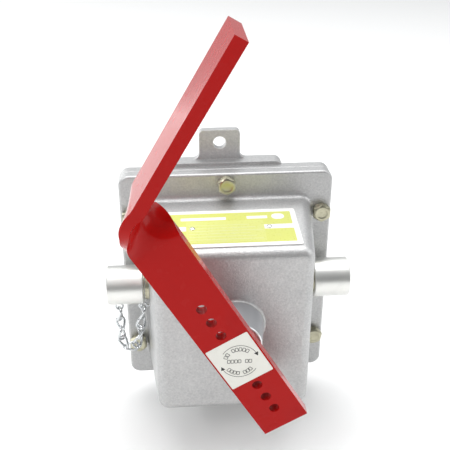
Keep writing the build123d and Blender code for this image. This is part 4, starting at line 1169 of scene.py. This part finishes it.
# ---- stage ------------------------------------------------------------------------------------
@dataclass
class Studio:
    """Pale floor, soft lights and the camera."""

    floor_size: float = 6.0
    camera_place: tuple = (-0.0438, -0.5837, 0.3375)
    camera_turn: tuple = (62.84, 0.0, -4.41)
    lens: float = 57.0

    def floor(self) -> None:
        """Lay the floor under the lower lug."""
        level = CAD_BOX[0][2] - 0.2 * MM
        half = self.floor_size / 2
        mesh = bpy.data.meshes.new("floor")
        mesh.from_pydata([(-half, -half, level), (half, -half, level), (half, half, level),
                          (-half, half, level)], [], [(0, 1, 2, 3)])
        material = bpy.data.materials.new("floor_paper")
        material.use_nodes = True
        shader = material.node_tree.nodes["Principled BSDF"]
        shader.inputs["Base Color"].default_value = (0.86, 0.86, 0.855, 1)
        shader.inputs["Roughness"].default_value = 0.55
        mesh.materials.append(material)
        new_object("floor", mesh)

    def light(self, name: str, place: tuple, size: float, power: float) -> None:
        """Add one soft light aimed at the switch."""
        data = bpy.data.lights.new(name, "AREA")
        data.size = size
        data.energy = power
        lamp = bpy.data.objects.new(name, data)
        lamp.location = place
        lamp.rotation_euler = (Vector((0, 0, 0)) - Vector(place)).to_track_quat("-Z", "Y").to_euler()
        bpy.context.scene.collection.objects.link(lamp)

    def sky(self) -> bpy.types.World:
        """World light: bright above, dim in front of the switch."""
        world = bpy.data.worlds.new("studio_walls")
        world.use_nodes = True
        tree = world.node_tree
        sketch = Sketch(tree)
        ahead = sketch.add("ShaderNodeTexCoord").outputs["Generated"]
        parts = sketch.add("ShaderNodeSeparateXYZ", {0: ahead})
        high = sketch.add("ShaderNodeMapRange", {"Value": parts.outputs["Z"], "From Min": -0.1,
                                                 "From Max": 0.8, "To Min": 0.42, "To Max": 0.95},
                          interpolation_type="SMOOTHSTEP")
        front = sketch.add("ShaderNodeMapRange", {"Value": parts.outputs["Y"], "From Min": -0.9,
                                                  "From Max": 0.3, "To Min": 0.36, "To Max": 1.0},
                           interpolation_type="SMOOTHSTEP")
        strength = sketch.math("MULTIPLY", high.outputs[0], front.outputs[0])
        sky = tree.nodes["Background"]
        sky.inputs["Color"].default_value = (0.97, 0.985, 1.0, 1)
        tree.links.new(strength, sky.inputs["Strength"])
        return world

    def build(self) -> None:
        """Set the stage."""
        scene = bpy.context.scene
        scene.view_settings.view_transform = "Standard"
        scene.world = self.sky()
        self.floor()
        self.light("overhead", (0.0, 0.35, 2.1), 2.2, 37.0)
        self.light("window", (-1.9, 2.0, 0.7), 2.2, 24.0)
        self.light("key", (-1.5, -1.5, 1.7), 1.1, 24.0)
        self.light("side", (1.9, -0.4, 0.9), 1.2, 9.0)
        data = bpy.data.cameras.new("camera")
        data.lens = self.lens
        data.sensor_width = 36.0
        camera = bpy.data.objects.new("camera", data)
        camera.location = self.camera_place
        camera.rotation_euler = tuple(math.radians(a) for a in self.camera_turn)
        scene.collection.objects.link(camera)
        scene.camera = camera


# ---- CAD nodes that stay ----------------------------------------------------------------------
class KeptNodes:
    """Gives every CAD node the finish of its slot."""

    def build(self, palette: Palette) -> None:
        """Dress the nodes."""
        for entry in RECORD["subparts"]:
            thing = FRAME["nodes"][entry["node"]]
            material = palette[entry["material_slot"]]
            if not thing.material_slots:
                thing.data.materials.append(material)
            for holder in thing.material_slots:
                holder.link = "OBJECT"
                holder.material = material


def main() -> None:
    """Build the looks of the switch."""
    logging.basicConfig(level=logging.INFO, format="%(name)s: %(message)s")
    Studio().build()
    palette = Palette(Effects())
    trees = Trees()
    KeptNodes().build(palette)
    lever = LeverArm()
    lever.build_bar(palette)
    lever.build_label(palette)
    CoverFasteners().build(palette, trees)
    Nameplate().build(palette, trees)
    RetainingChain().build(palette, trees)
    ConduitThreads().build(palette, trees)
    ShaftSeal().build(palette)


if __name__ == "__main__":
    main()
